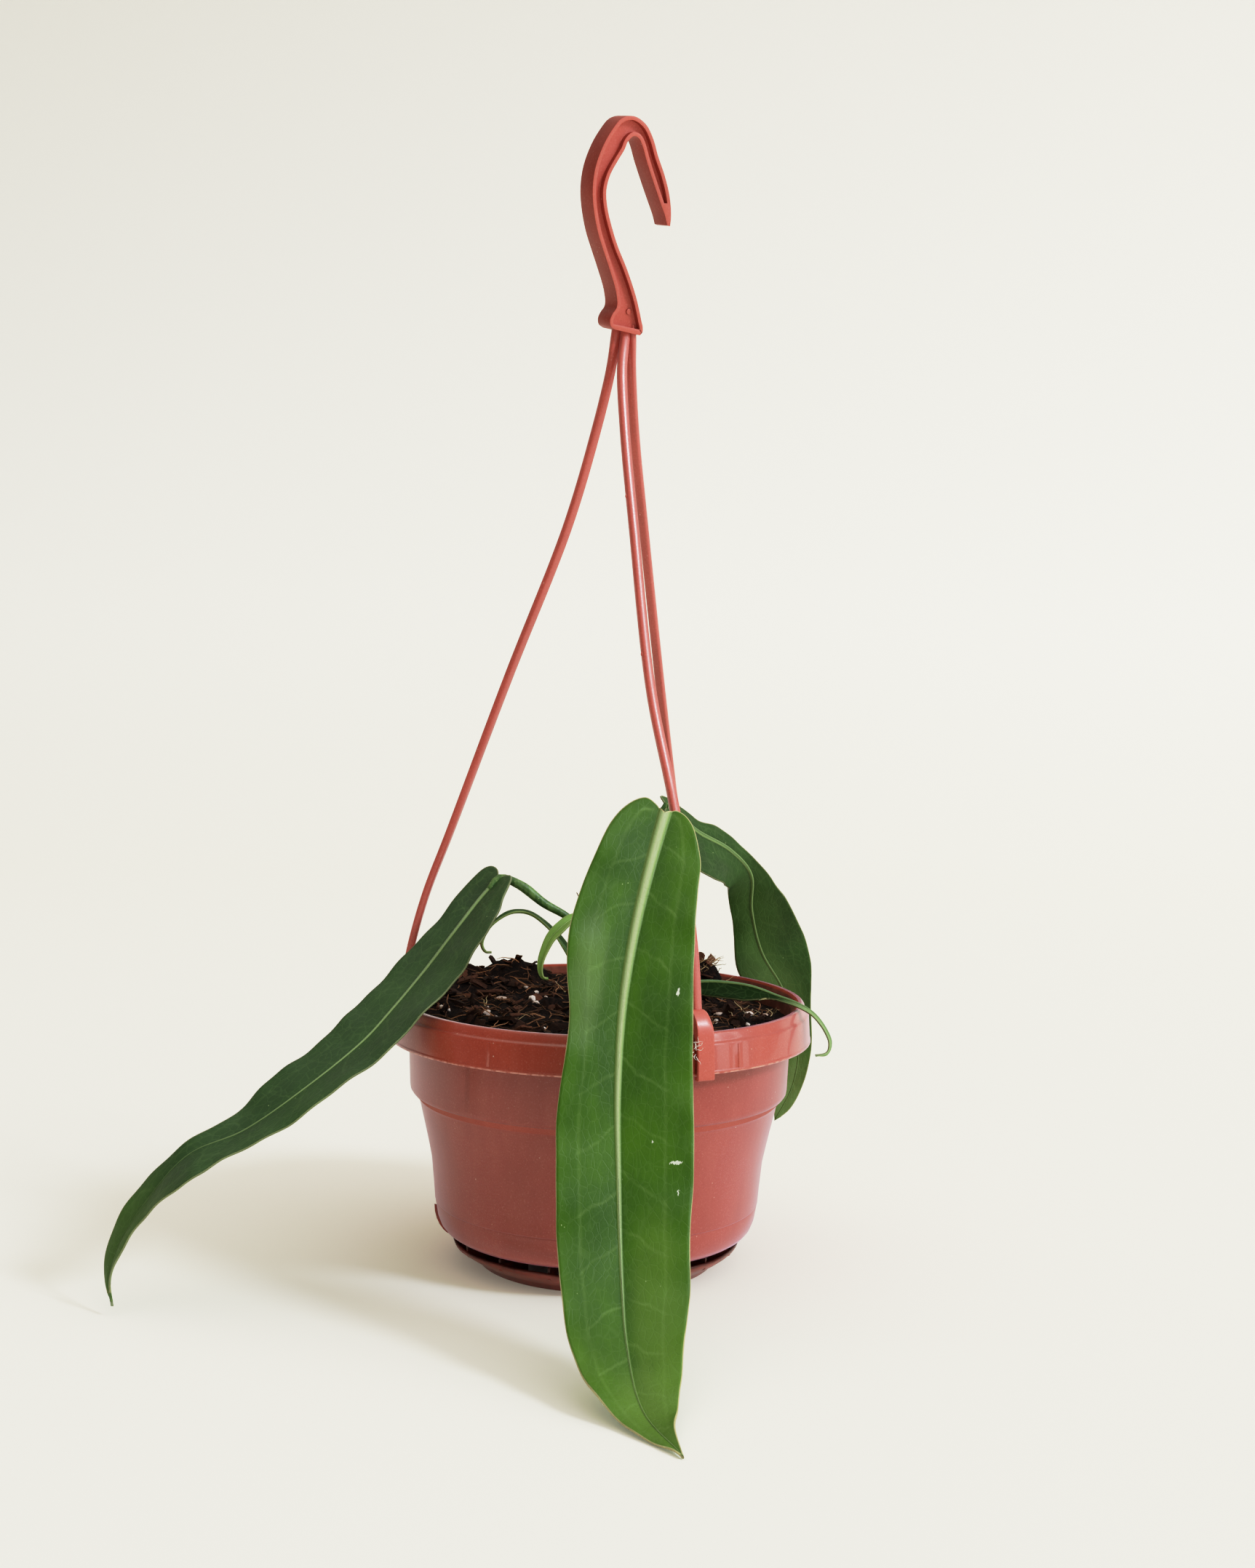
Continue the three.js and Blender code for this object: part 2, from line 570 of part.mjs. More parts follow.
const leafSpecs = {
  leaf_front: {
    midrib: [
      [19.9, -54, 165.4],
      [14.9, -66, 148.2],
      [10.3, -77, 128.6],
      [7.1, -87, 107],
      [6, -97, 82.2],
      [6.7, -107, 58.2],
      [8, -121, 32.5],
      [10, -140, 14.9],
      [14.4, -161, 4.2],
      [25.3, -186.2, 0.8],
    ],
    facing: [
      [0, 0, -0.9, 0.45],
      [0.6, 0, -0.85, 0.5],
      [1, 0, -0.45, 0.9],
    ],
    leftEdge: [
      [0, 0.6],
      [-2.6, 3.4],
      [-4, 7.2],
      [-2.2, 10.4],
      [2, 13.6],
      [9, 16.4],
      [20, 18.3],
      [36, 20.3],
      [49, 20.9],
      [61, 19],
      [72, 16.8],
      [84, 17.2],
      [104, 19.3],
      [130, 19.8],
      [152, 19.3],
      [172, 17.6],
      [190, 13.8],
      [204, 7.9],
      [216, 4],
      [228, 0.5],
    ],
    rightEdge: [
      [0, -0.6],
      [-2, -3],
      [-1.4, -6],
      [1.4, -9.4],
      [7, -12.8],
      [16, -16.2],
      [26, -17.6],
      [38, -19.3],
      [54, -21.2],
      [70, -23],
      [86, -23.6],
      [104, -24.2],
      [122, -23.6],
      [140, -21.9],
      [160, -20.7],
      [177, -17.6],
      [193, -14],
      [207, -9],
      [217, -3.8],
      [228, -0.5],
    ],
    fold: 12,
    rows: 26,
    columns: 3,
    spread: 1.25,
    petiole: [
      [14, -9.5, 81],
      [15, -12, 105],
      [17, -24, 136],
      [19, -41, 158.4],
      [20.2, -53, 165],
      [18.6, -57.6, 160.6],
    ],
    petioleRadii: [1.9, 1.5, 1.3, 1.5, 1.9, 1.1],
  },
  leaf_left: {
    midrib: [
      [-36.1, -8, 137.7],
      [-42.6, -12, 130.3],
      [-50.6, -19, 120],
      [-60.3, -28, 107.3],
      [-69.6, -38, 96.4],
      [-79, -46, 86.3],
      [-97.9, -56, 71.4],
      [-116.4, -60, 58.6],
      [-134.1, -62, 50.7],
      [-146.4, -63.4, 37],
      [-156.2, -66, 20.8],
      [-158.4, -70, 10.2],
      [-156.4, -75, 3.6],
    ],
    facing: [
      [0, -0.45, -0.5, 0.74],
      [0.6, -0.45, -0.5, 0.74],
      [1, -0.75, -0.55, 0.35],
    ],
    leftEdge: [
      [0, 0.6],
      [-2.4, 3.6],
      [-2.4, 6.7],
      [-0.4, 8.7],
      [6, 9.5],
      [18, 9.7],
      [33, 11],
      [49, 12.7],
      [68, 14.3],
      [90, 13.7],
      [114, 12.8],
      [132, 7.4],
      [146, 5.2],
      [162, 6.8],
      [178, 6.6],
      [190, 4.4],
      [199, 0.5],
    ],
    rightEdge: [
      [0, -0.6],
      [-1.4, -3],
      [-1.8, -5.8],
      [3.2, -10.1],
      [10, -13],
      [21, -17.3],
      [36, -19.8],
      [56, -19.8],
      [74, -17.2],
      [92, -15.3],
      [108, -14],
      [122, -12],
      [134, -12],
      [147, -14.2],
      [160, -10.4],
      [174, -5],
      [188, -3],
      [199, -0.5],
    ],
    fold: 12,
    rows: 26,
    columns: 3,
    spread: 1.25,
    petiole: [
      [5.6, -3.4, 81],
      [3.6, -3.8, 104],
      [-3.2, -4.6, 116.6],
      [-12.4, -6, 124.2],
      [-20.4, -7, 128.8],
      [-28.9, -8, 135.2],
      [-36.3, -8.1, 137.6],
      [-39.6, -10.4, 133.8],
    ],
    petioleRadii: [1.9, 1.5, 1.2, 1.3, 1.8, 1.1],
  },
  leaf_back: {
    midrib: [
      [21.4, -12, 164.5],
      [26.9, -4, 159.8],
      [33.5, 5, 153.8],
      [46.3, 20, 145.6],
      [54.7, 32, 135.5],
      [56, 42, 121.1],
      [60.9, 51, 103.8],
      [69.4, 56, 89.4],
      [74.6, 57, 76],
      [76.3, 56, 64],
      [74.6, 53.6, 51.6],
      [69.4, 50, 39.1],
    ],
    facing: [
      [0, 0.15, -0.75, 0.65],
      [0.25, 0.1, -0.9, 0.4],
      [0.5, 0, -1, 0.15],
      [1, 0, -1, 0],
    ],
    leftEdge: [
      [0, 0.6],
      [-2.4, 3.6],
      [3, 9],
      [15, 13.6],
      [29.5, 15.6],
      [42, 15.2],
      [60, 12.6],
      [74, 9.6],
      [82, 7.6],
      [90, 8.4],
      [104, 11.6],
      [122, 10.6],
      [140, 7.4],
      [156, 4.2],
      [170, 0.5],
    ],
    rightEdge: [
      [0, -0.6],
      [-2.4, -2.9],
      [6, -4.8],
      [23, -4.4],
      [35, -5.8],
      [50, -4.2],
      [60, -4.6],
      [68, -8],
      [76, -13],
      [90, -16.3],
      [104, -17.2],
      [113, -14.8],
      [128, -8],
      [144, -4.8],
      [157, -3],
      [170, -0.5],
    ],
    fold: -15,
    rows: 26,
    columns: 3,
    spread: 1.2,
    petiole: [
      [18.6, 2.6, 81],
      [20.4, 3.4, 104],
      [19.6, -2.4, 136],
      [19.6, -10, 158],
      [21, -12.6, 164.4],
      [24.4, -7.6, 161.6],
    ],
    petioleRadii: [1.9, 1.5, 1.3, 1.4, 1.8, 1.1],
  },
  leaf_small_right: {
    midrib: [
      [26.4, -7, 100.6],
      [35.5, -8.6, 103.4],
      [44.3, -11, 103.9],
      [52.8, -14, 103],
      [61, -18, 100.4],
      [69.1, -21.6, 97.6],
      [74, -24, 94.4],
      [77.8, -26, 89.8],
      [79.6, -28, 85.4],
      [78.4, -29.6, 81.9],
      [74, -31.6, 81.4],
    ],
    facing: [
      [0, 0, -0.35, 1],
      [0.55, 0.1, -0.35, 1],
      [0.8, 0.9, -0.3, 0.5],
      [1, 0.5, -0.3, -0.5],
    ],
    leftEdge: [
      [0, 1],
      [3, 1.8],
      [8, 2.6],
      [16, 3],
      [28, 3],
      [40, 2.4],
      [50, 1.7],
      [60, 1.3],
      [68, 0.9],
      [72.5, 0.5],
    ],
    rightEdge: [
      [0, -1],
      [3, -2.8],
      [8, -4.8],
      [16, -5.6],
      [28, -4.6],
      [40, -2.8],
      [50, -1.8],
      [60, -1.3],
      [68, -0.9],
      [72.5, -0.5],
    ],
    fold: -32,
    rows: 18,
    columns: 2,
    spread: 1,
    petiole: [
      [19.4, -6.2, 81],
      [20.6, -6.4, 92],
      [24, -6.8, 98.6],
      [27.4, -7.2, 101],
      [31, -7.9, 102],
    ],
    petioleRadii: [1.4, 1.2, 1, 1, 0.7],
  },
  leaf_small_left: {
    midrib: [
      [-6.6, -1, 102.6],
      [-12.2, -1.6, 111.4],
      [-17.8, -2.6, 118.4],
      [-24.5, -4, 124],
      [-29, -5, 125.2],
      [-33, -6, 124.6],
      [-38.2, -7.4, 121.2],
      [-40.8, -8.4, 117.6],
      [-41.8, -9, 114],
      [-40.6, -9, 111.6],
      [-38.6, -8, 111.2],
    ],
    facing: [
      [0, -0.3, -0.5, 0.6],
      [0.4, 0, -0.25, 1],
      [0.6, -0.4, -0.25, 0.8],
      [0.8, -0.9, -0.4, 0.2],
      [1, -0.4, -0.4, -0.6],
    ],
    leftEdge: [
      [0, 1],
      [4, 1.6],
      [12, 2.3],
      [24, 2.6],
      [34, 2.3],
      [44, 1.6],
      [52, 1],
      [57, 0.5],
    ],
    rightEdge: [
      [0, -1],
      [4, -1.6],
      [12, -2.3],
      [24, -2.6],
      [34, -2.3],
      [44, -1.6],
      [52, -1],
      [57, -0.5],
    ],
    fold: 25,
    rows: 16,
    columns: 2,
    spread: 1,
    petiole: [
      [7, 3.6, 81],
      [4, 2.6, 91],
      [-2.6, 0.2, 98],
      [-7.2, -1.1, 103.6],
      [-9.8, -1.4, 107.6],
    ],
    petioleRadii: [1.4, 1.1, 1, 1, 0.7],
  },
  leaf_young: {
    midrib: [
      [1.6, -17.2, 121],
      [-5.6, -19.6, 124.8],
      [-9.9, -22, 125.2],
      [-13.6, -25, 123],
      [-17, -27, 119.6],
      [-19, -29, 115.8],
      [-20.4, -31, 111.4],
      [-20.4, -32, 108.4],
      [-19.5, -32, 106.6],
      [-17.9, -31, 106.2],
    ],
    facing: [
      [0, -0.4, -0.5, 0.9],
      [0.5, -0.6, -0.8, 0.5],
      [1, -0.5, -0.8, -0.2],
    ],
    leftEdge: [
      [0, 0.9],
      [4, 1.3],
      [10, 1.9],
      [20, 2.1],
      [29, 1.6],
      [36, 1],
      [40, 0.5],
    ],
    rightEdge: [
      [0, -0.9],
      [4, -1.3],
      [10, -1.9],
      [20, -2.1],
      [29, -1.6],
      [36, -1],
      [40, -0.5],
    ],
    fold: 20,
    rows: 14,
    columns: 2,
    spread: 1,
    petiole: [
      [9.4, -9.4, 81],
      [8, -11, 98],
      [6, -14.2, 112],
      [1, -17.2, 121.4],
      [-2, -18.4, 123.6],
    ],
    petioleRadii: [1.3, 1.1, 1, 0.9, 0.7],
  },
};
const stalkSides = 8;
const stalkSteps = 13;

// A plain hole for the foot of a stalk, one gap wider all round and a little deeper
function stalkHole(path, radii) {
  const wide = radii.map((r) => r + gap + 0.05);
  const body = toSolid(stalk(path, wide, stalkSides, stalkSteps));
  const foot = v3(path[0]);
  const down = foot.clone().sub(v3(path[1])).normalize();
  const low = foot.clone().addScaledVector(down, gap);
  const high = foot.clone().addScaledVector(down, -1);
  return body.add(
    toSolid(stalk([low.toArray(), high.toArray()], [wide[0], wide[0]], 8, 1)),
  );
}

const cataphyllPath = [
  [4.4, -8.8, 81],
  [3, -9.6, 100],
  [-1.4, -10.8, 117],
  [-5.6, -11.8, 127],
  [-9, -12.4, 133.6],
];
const cataphyllRadii = [1.5, 1.3, 1, 0.7, 0.35];

// Crown: short upright stem between the stalks
const crownCentre = [12, -2];
const crown = new THREE.LatheGeometry(
  [
    [0, 81],
    [4, 81],
    [4.4, 86],
    [4.3, 90],
    [4.5, 92.5],
    [4, 95],
    [2.6, 97],
    [1, 98.4],
    [0, 98.7],
  ].map((p) => new THREE.Vector2(p[0], p[1])),
  20,
)
  .rotateX(Math.PI / 2)
  .translate(crownCentre[0], crownCentre[1], 0);
const crownHole = new THREE.CylinderGeometry(4.9, 4.9, 24, 20)
  .rotateX(Math.PI / 2)
  .translate(crownCentre[0], crownCentre[1], 92.7);

// Mix: fills the pot, with bark pieces and perlite raised from its surface by a formula
let seed = 20417;
function random() {
  seed = (seed * 16807) % 2147483647;
  return seed / 2147483647;
}
const lumps = [];
for (let i = 0; i < 120; i += 1) {
  const r = 62 * Math.sqrt(random());
  const a = 2 * Math.PI * random();
  lumps.push({
    x: r * Math.cos(a),
    y: r * Math.sin(a),
    size: 2.6 + 3.4 * random(),
    height: -0.8 + 3 * random(),
    turn: Math.PI * random(),
    long: 1 + 1.2 * random(),
  });
}
const mound = { x: 35, y: 41, size: 6.8, height: 11.5 };
function mixHeight(x, y) {
  const r = Math.hypot(x, y);
  const high = Math.max(0, Math.cos(Math.atan2(y, x) - mixHighSide * degrees));
  const level = mixLevel + (mixRise * high ** 1.5 * r) / 66;
  let z = level + 1.8 * Math.exp(-((x - 12) ** 2 + (y + 2) ** 2) / 500);
  z += 0.6 * Math.sin(x * 0.13 + 1) * Math.cos(y * 0.11);
  for (const l of lumps) {
    const dx = x - l.x;
    const dy = y - l.y;
    const u = (dx * Math.cos(l.turn) + dy * Math.sin(l.turn)) / l.long;
    const v = -dx * Math.sin(l.turn) + dy * Math.cos(l.turn);
    const d = (u * u + v * v) / (l.size * l.size);
    if (d < 1) z += l.height * (1 - d) ** 2;
  }
  const m = ((x - mound.x) ** 2 + (y - mound.y) ** 2) / mound.size ** 2;
  z += mound.height * Math.exp(-m);
  const edge = Math.max(0, (r - 58) / 8);
  return z * (1 - edge) + level * edge;
}
function mixGeometry() {
  const sectors = 44;
  const rings = 13;
  const levels = innerWall.map((w) => w[0]).filter((z) => z < 80);
  levels[0] += gap;
  levels.push(83);
  const points = [];
  const faces = [];
  const edgeRadius = (z) => innerRadius(z) - gap - 0.2;
  points.push(new THREE.Vector3(0, 0, levels[0]));
  for (const z of levels)
    for (let k = 0; k < sectors; k += 1) {
      const a = (2 * Math.PI * k) / sectors;
      const r = edgeRadius(z) - (z === levels[0] ? 0.6 : 0);
      points.push(new THREE.Vector3(r * Math.cos(a), r * Math.sin(a), z));
    }
  for (let j = 0; j < rings; j += 1) {
    const share = 1 - j / rings;
    for (let k = 0; k < sectors; k += 1) {
      const a = (2 * Math.PI * (k + (j % 2 ? 0.5 : 0))) / sectors;
      const r = (edgeRadius(mixLevel) - 0.1) * share;
      const x = r * Math.cos(a);
      const y = r * Math.sin(a);
      points.push(new THREE.Vector3(x, y, mixHeight(x, y)));
    }
  }
  points.push(new THREE.Vector3(0, 0, mixHeight(0, 0)));
  const rows = levels.length + rings;
  for (let k = 0; k < sectors; k += 1) {
    const n = (k + 1) % sectors;
    faces.push([0, 1 + n, 1 + k]);
    for (let j = 0; j + 1 < rows; j += 1) {
      const a = 1 + j * sectors + k;
      const b = 1 + j * sectors + n;
      faces.push([a, b, b + sectors], [a, b + sectors, a + sectors]);
    }
    const last = 1 + (rows - 1) * sectors;
    faces.push([last + k, last + n, points.length - 1]);
  }
  return meshFrom(points, faces);
}
let mix = toSolid(mixGeometry()).subtract(toSolid(crownHole));
for (const name of Object.keys(leafSpecs)) {
  const spec = leafSpecs[name];
  mix = mix.subtract(stalkHole(spec.petiole, spec.petioleRadii));
}
mix = mix.subtract(stalkHole(cataphyllPath, cataphyllRadii));

// Assembly

const plastic = new THREE.MeshStandardMaterial({
  color: 0x8f3d33,
  roughness: 0.42,
  metalness: 0,
});
const rimPlastic = new THREE.MeshStandardMaterial({
  color: 0xa8442f,
  roughness: 0.4,
  metalness: 0,
});
const leafGreen = new THREE.MeshStandardMaterial({
  color: 0x3f6a2c,
  roughness: 0.5,
  metalness: 0,
});
const youngGreen = new THREE.MeshStandardMaterial({
  color: 0x86a552,
  roughness: 0.5,
  metalness: 0,
});
const dryBrown = new THREE.MeshStandardMaterial({
  color: 0x6b4a2c,
  roughness: 0.8,
  metalness: 0,
});
const darkMix = new THREE.MeshStandardMaterial({
  color: 0x2e2019,
  roughness: 0.95,
  metalness: 0,
});
const object = new THREE.Group();
function put(name, geometry, material) {
  const mesh = new THREE.Mesh(geometry, material);
  mesh.name = name;
  object.add(mesh);
}
put("pot", pot, plastic);
put("saucer", fromSolid(saucerSolid), plastic);
put("hanger", fromSolid(hangerSolid), rimPlastic);
put("potting_mix", fromSolid(mix), darkMix);
put("crown", crown, dryBrown);
put(
  "cataphyll",
  stalk(cataphyllPath, cataphyllRadii, stalkSides, stalkSteps),
  dryBrown,
);
for (const name of Object.keys(leafSpecs)) {
  const spec = leafSpecs[name];
  const stem = stalk(
    spec.petiole,
    spec.petioleRadii,
    stalkSides,
    stalkSteps,
  );
  const solid = toSolid(blade(spec)).add(toSolid(stem));
  const young = name === "leaf_young" || name.startsWith("leaf_small");
  put(name, fromSolid(solid), young ? youngGreen : leafGreen);
}

export default object;
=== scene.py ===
# %% [markdown]
# # A potted anthurium with hanging blades
#
# A young aroid with long strap-shaped leaves grows in a brown nursery pot. The pot has
# a clip-on saucer, and three moulded straps run up from its rim to one hook. The packed
# model gives the solids and their places. This script dresses every solid with a finer
# mesh and a finish, and never moves one. Lengths are in millimetres, which MM turns into
# metres.

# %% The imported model
import json
import math
import random
from contextlib import contextmanager
from itertools import pairwise

import bmesh
import bpy
import numpy as np
from mathutils import Matrix, Vector, noise

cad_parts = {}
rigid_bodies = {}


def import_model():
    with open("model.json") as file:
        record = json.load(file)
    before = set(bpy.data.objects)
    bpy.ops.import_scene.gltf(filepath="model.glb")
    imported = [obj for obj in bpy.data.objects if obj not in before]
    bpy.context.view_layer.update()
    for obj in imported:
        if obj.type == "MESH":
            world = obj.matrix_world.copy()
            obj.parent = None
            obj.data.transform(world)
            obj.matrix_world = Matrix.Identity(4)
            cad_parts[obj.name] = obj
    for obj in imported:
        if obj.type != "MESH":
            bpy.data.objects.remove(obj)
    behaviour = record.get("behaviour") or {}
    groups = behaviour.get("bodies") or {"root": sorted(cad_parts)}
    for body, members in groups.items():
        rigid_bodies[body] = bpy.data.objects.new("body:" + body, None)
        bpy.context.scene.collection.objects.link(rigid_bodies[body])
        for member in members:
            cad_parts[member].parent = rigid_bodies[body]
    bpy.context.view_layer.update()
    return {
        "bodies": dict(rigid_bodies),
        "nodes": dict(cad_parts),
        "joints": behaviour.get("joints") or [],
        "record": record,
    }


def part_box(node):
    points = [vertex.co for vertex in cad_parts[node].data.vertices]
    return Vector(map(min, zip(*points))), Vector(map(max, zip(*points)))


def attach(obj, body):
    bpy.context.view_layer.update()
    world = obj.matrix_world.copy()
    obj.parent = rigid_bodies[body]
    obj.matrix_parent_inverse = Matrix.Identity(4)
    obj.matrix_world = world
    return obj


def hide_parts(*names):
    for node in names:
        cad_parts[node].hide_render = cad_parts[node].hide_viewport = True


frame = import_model()
MM = 0.001
noise.seed_set(31)  # else the roughness would differ from run to run
print("nodes:", ", ".join(sorted(frame["nodes"])))

# %% [markdown]
# ## The camera
#
# The photograph was taken from a little above the rim. The camera's place was worked out
# from the ellipses that the pot's round edges make. The lens follows from the focal
# length in pixels and the height of the frame, because Blender fits the sensor to it.

# %% Camera
frame_height, focal_pixels = 2156, 3000  # pixels
sensor_size = 36
eye = Vector((0, -768.7, 233.7))
pitch, yaw, roll = (math.radians(angle) for angle in (4.669, 0.604, 1.192))

look = Vector((math.sin(yaw) * math.cos(pitch), math.cos(yaw) * math.cos(pitch), -math.sin(pitch)))
level = Vector((math.cos(yaw), -math.sin(yaw), 0))
upright = level.cross(look)
camera_right = math.cos(roll) * level + math.sin(roll) * upright
camera_up = math.cos(roll) * upright - math.sin(roll) * level

bpy.ops.object.camera_add()
camera = bpy.context.object
turned_axes = Matrix((camera_right, camera_up, -look)).transposed().to_4x4()
camera.matrix_world = Matrix.Translation(eye * MM) @ turned_axes
camera.data.sensor_width = sensor_size
camera.data.lens = sensor_size * focal_pixels / frame_height
bpy.context.scene.camera = camera
print("lens:", round(camera.data.lens, 2), "mm")

# %% [markdown]
# ## Tools for meshes
#
# Every piece starts from a primitive and is shaped in edit mode. An operator acts on all
# that is selected, so each tool first selects only its own piece.

# %% Selecting, editing and modifiers
def pick(*pieces):
    bpy.ops.object.select_all(action="DESELECT")
    for piece in pieces:
        piece.select_set(True)
    bpy.context.view_layer.objects.active = pieces[0]


@contextmanager
def edit_mode(piece):
    pick(piece)
    bpy.ops.object.mode_set(mode="EDIT")
    bpy.ops.mesh.select_mode(type="VERT")
    bpy.ops.mesh.select_all(action="SELECT")
    yield
    bpy.ops.object.mode_set(mode="OBJECT")


def new_piece(name, add, **settings):
    bpy.ops.object.select_all(action="DESELECT")
    add(**settings)
    piece = bpy.context.object
    piece.name = name
    return piece


def modify(piece, kind, **settings):
    pick(piece)
    modifier = piece.modifiers.new(kind.title(), kind)
    for name, value in settings.items():
        setattr(modifier, name, value)
    bpy.ops.object.modifier_apply(modifier=modifier.name)


def place(piece, matrix):
    """Puts a transform into the mesh, so that the object stays at the origin."""
    piece.data.transform(matrix)
    piece.data.update()


def join(name, pieces):
    pick(*pieces)
    bpy.ops.object.join()
    pieces[0].name = name
    return pieces[0]


def extrude(*step):
    bpy.ops.mesh.extrude_region_move(TRANSFORM_OT_translate={"value": [side * MM for side in step]})


def face_out(piece):
    with edit_mode(piece):
        bpy.ops.mesh.remove_doubles(threshold=0.01 * MM)
        bpy.ops.mesh.normals_make_consistent(inside=False)


def smooth(piece, angle=None):
    """Shades a piece smoothly, and leaves edges sharp that turn by more than the angle."""
    pick(piece)
    if angle:
        bpy.ops.object.shade_smooth_by_angle(angle=math.radians(angle))
    else:
        bpy.ops.object.shade_smooth()


def soften(piece, width, angle=28):
    """Rounds the sharp edges a little and shades the rest smoothly."""
    limit = {"limit_method": "ANGLE", "angle_limit": math.radians(angle)}
    modify(piece, "BEVEL", width=width * MM, segments=2, use_clamp_overlap=True, **limit)
    smooth(piece, angle + 12)


def choose_faces(piece, test):
    """Selects the faces whose centre in millimetres and normal pass the test."""
    mesh = bmesh.from_edit_mesh(piece.data)
    bpy.ops.mesh.select_mode(type="FACE")
    for face in mesh.faces:
        face.select_set(test(face.calc_center_median() / MM, face.normal))
    bmesh.update_edit_mesh(piece.data)


def around(angle):
    """A turn round the Z axis, in degrees."""
    return Matrix.Rotation(math.radians(angle), 4, "Z")


def outward(angle):
    """The way out from the Z axis, in degrees from +X."""
    return Vector((math.cos(math.radians(angle)), math.sin(math.radians(angle)), 0))


# %% [markdown]
# Three ways of making a form are used again and again. A turned form is a profile,
# extruded point by point and spun round the Z axis, as on a lathe. A plate is a filled
# outline that is extruded to its thickness. A swept form is a filled ring that is
# extruded along a path, and each new ring is moved to its place.

# %% Turned forms and plates
def turned(name, profile, steps):
    piece = new_piece(name, bpy.ops.mesh.primitive_plane_add, size=MM)
    with edit_mode(piece):
        bpy.ops.mesh.merge(type="CENTER")
        bpy.ops.transform.translate(value=(profile[0][0] * MM, 0, profile[0][1] * MM))
        for before, after in pairwise(profile):
            extrude(after[0] - before[0], 0, after[1] - before[1])
        bpy.ops.mesh.select_all(action="SELECT")
        bpy.ops.mesh.spin(steps=steps, angle=math.tau, center=(0, 0, 0), axis=(0, 0, 1))
    face_out(piece)
    return piece


def plate(name, outline, thickness, layers=1):
    """An outline in the XZ plane, extruded along Y on both sides of it."""
    settings = {"vertices": len(outline), "fill_type": "NGON"}
    piece = new_piece(name, bpy.ops.mesh.primitive_circle_add, **settings)
    for corner, (x, z) in zip(piece.data.vertices, outline):
        corner.co = Vector((x, -thickness / 2, z)) * MM
    with edit_mode(piece):
        for _ in range(layers):
            extrude(0, thickness / layers, 0)
    face_out(piece)
    return piece


# %% Smooth paths and swept forms
class SmoothPath:
    """A centripetal Catmull-Rom curve through points, the same kind that the solids use."""

    def __init__(self, points):
        points = np.array(points, float)
        before = 2 * points[0] - points[1]
        after = 2 * points[-1] - points[-2]
        self.points = np.vstack([before, points, after])
        self.shares = np.linspace(0, 1, 1501)
        steps = np.linalg.norm(np.diff(self.at(self.shares), axis=0), axis=1)
        self.lengths = np.concatenate([[0], np.cumsum(steps)])
        self.length = self.lengths[-1]

    def at(self, share):
        where = np.clip(np.asarray(share, float), 0, 1) * (len(self.points) - 3)
        first = np.minimum(where.astype(int), len(self.points) - 4)
        t = (where - first)[..., None]
        a, b, c, d = (self.points[first + k] for k in range(4))
        gaps = ((a, b), (b, c), (c, d))
        ab, bc, cd = (np.linalg.norm(q - p, axis=-1, keepdims=True) ** 0.5 for p, q in gaps)
        leave = ((b - a) / ab - (c - a) / (ab + bc) + (c - b) / bc) * bc
        arrive = ((c - b) / bc - (d - b) / (bc + cd) + (d - c) / cd) * bc
        start = (2 * t**3 - 3 * t**2 + 1) * b + (t**3 - 2 * t**2 + t) * leave
        return start + (3 * t**2 - 2 * t**3) * c + (t**3 - t**2) * arrive

    def along(self, distance):
        return self.at(np.interp(distance, self.lengths, self.shares))

    def direction(self, distance, reach=0.05):
        low = np.clip(distance - reach, 0, self.length)
        high = np.clip(distance + reach, 0, self.length)
        step = self.along(high) - self.along(low)
        return step / np.linalg.norm(step, axis=-1, keepdims=True)


def stations(path, radii, count, facing=(1, 0.2, 0.1)):
    """Frames along a path. X and Y are as long as the radius there, and Y looks to facing."""
    frames = []
    side = Vector(facing)
    for k in range(count + 1):
        share = k / count
        centre = Vector(path.along(share * path.length)) * MM
        ahead = Vector(path.direction(share * path.length))
        side = (side - side.dot(ahead) * ahead).normalized()
        radius = float(np.interp(share * (len(radii) - 1), range(len(radii)), radii)) * MM
        axes = Matrix((side.cross(ahead) * radius, side * radius, ahead * MM)).transposed()
        frames.append(Matrix.Translation(centre) @ axes.to_4x4())
    return frames


def sweep(name, frames, sides, shape=None):
    """A filled ring is extruded from frame to frame. shape turns the ring into its section."""
    piece = new_piece(name, bpy.ops.mesh.primitive_circle_add, vertices=sides, fill_type="NGON")
    for corner in piece.data.vertices:
        corner.co = frames[0] @ (shape(corner.co) if shape else corner.co)
    with edit_mode(piece):
        for before, after in pairwise(frames):
            bpy.ops.mesh.extrude_region()
            mesh = bmesh.from_edit_mesh(piece.data)
            move = after @ before.inverted()
            for corner in mesh.verts:
                if corner.select:
                    corner.co = move @ corner.co
    face_out(piece)
    return piece


# %% [markdown]
# ## Tools for finishes
#
# A finish is a small graph of shader nodes. A Value wraps one output socket and lets
# plain arithmetic build the Math nodes. Any other node comes from one method, which
# takes the node's type, its settings and what goes into its sockets. Patterns read
# object coordinates or an attribute of the piece, so they stay on the surface from every
# side. A finish keeps one colour, and tones are laid over it one after the other.

# %% Values and finishes
def paint(red, green, blue):
    """A colour as seen on a screen, 0 to 255, as the linear colour that shaders take."""
    shares = (red / 255, green / 255, blue / 255)
    return (*(c / 12.92 if c <= 0.04045 else ((c + 0.055) / 1.055) ** 2.4 for c in shares), 1)


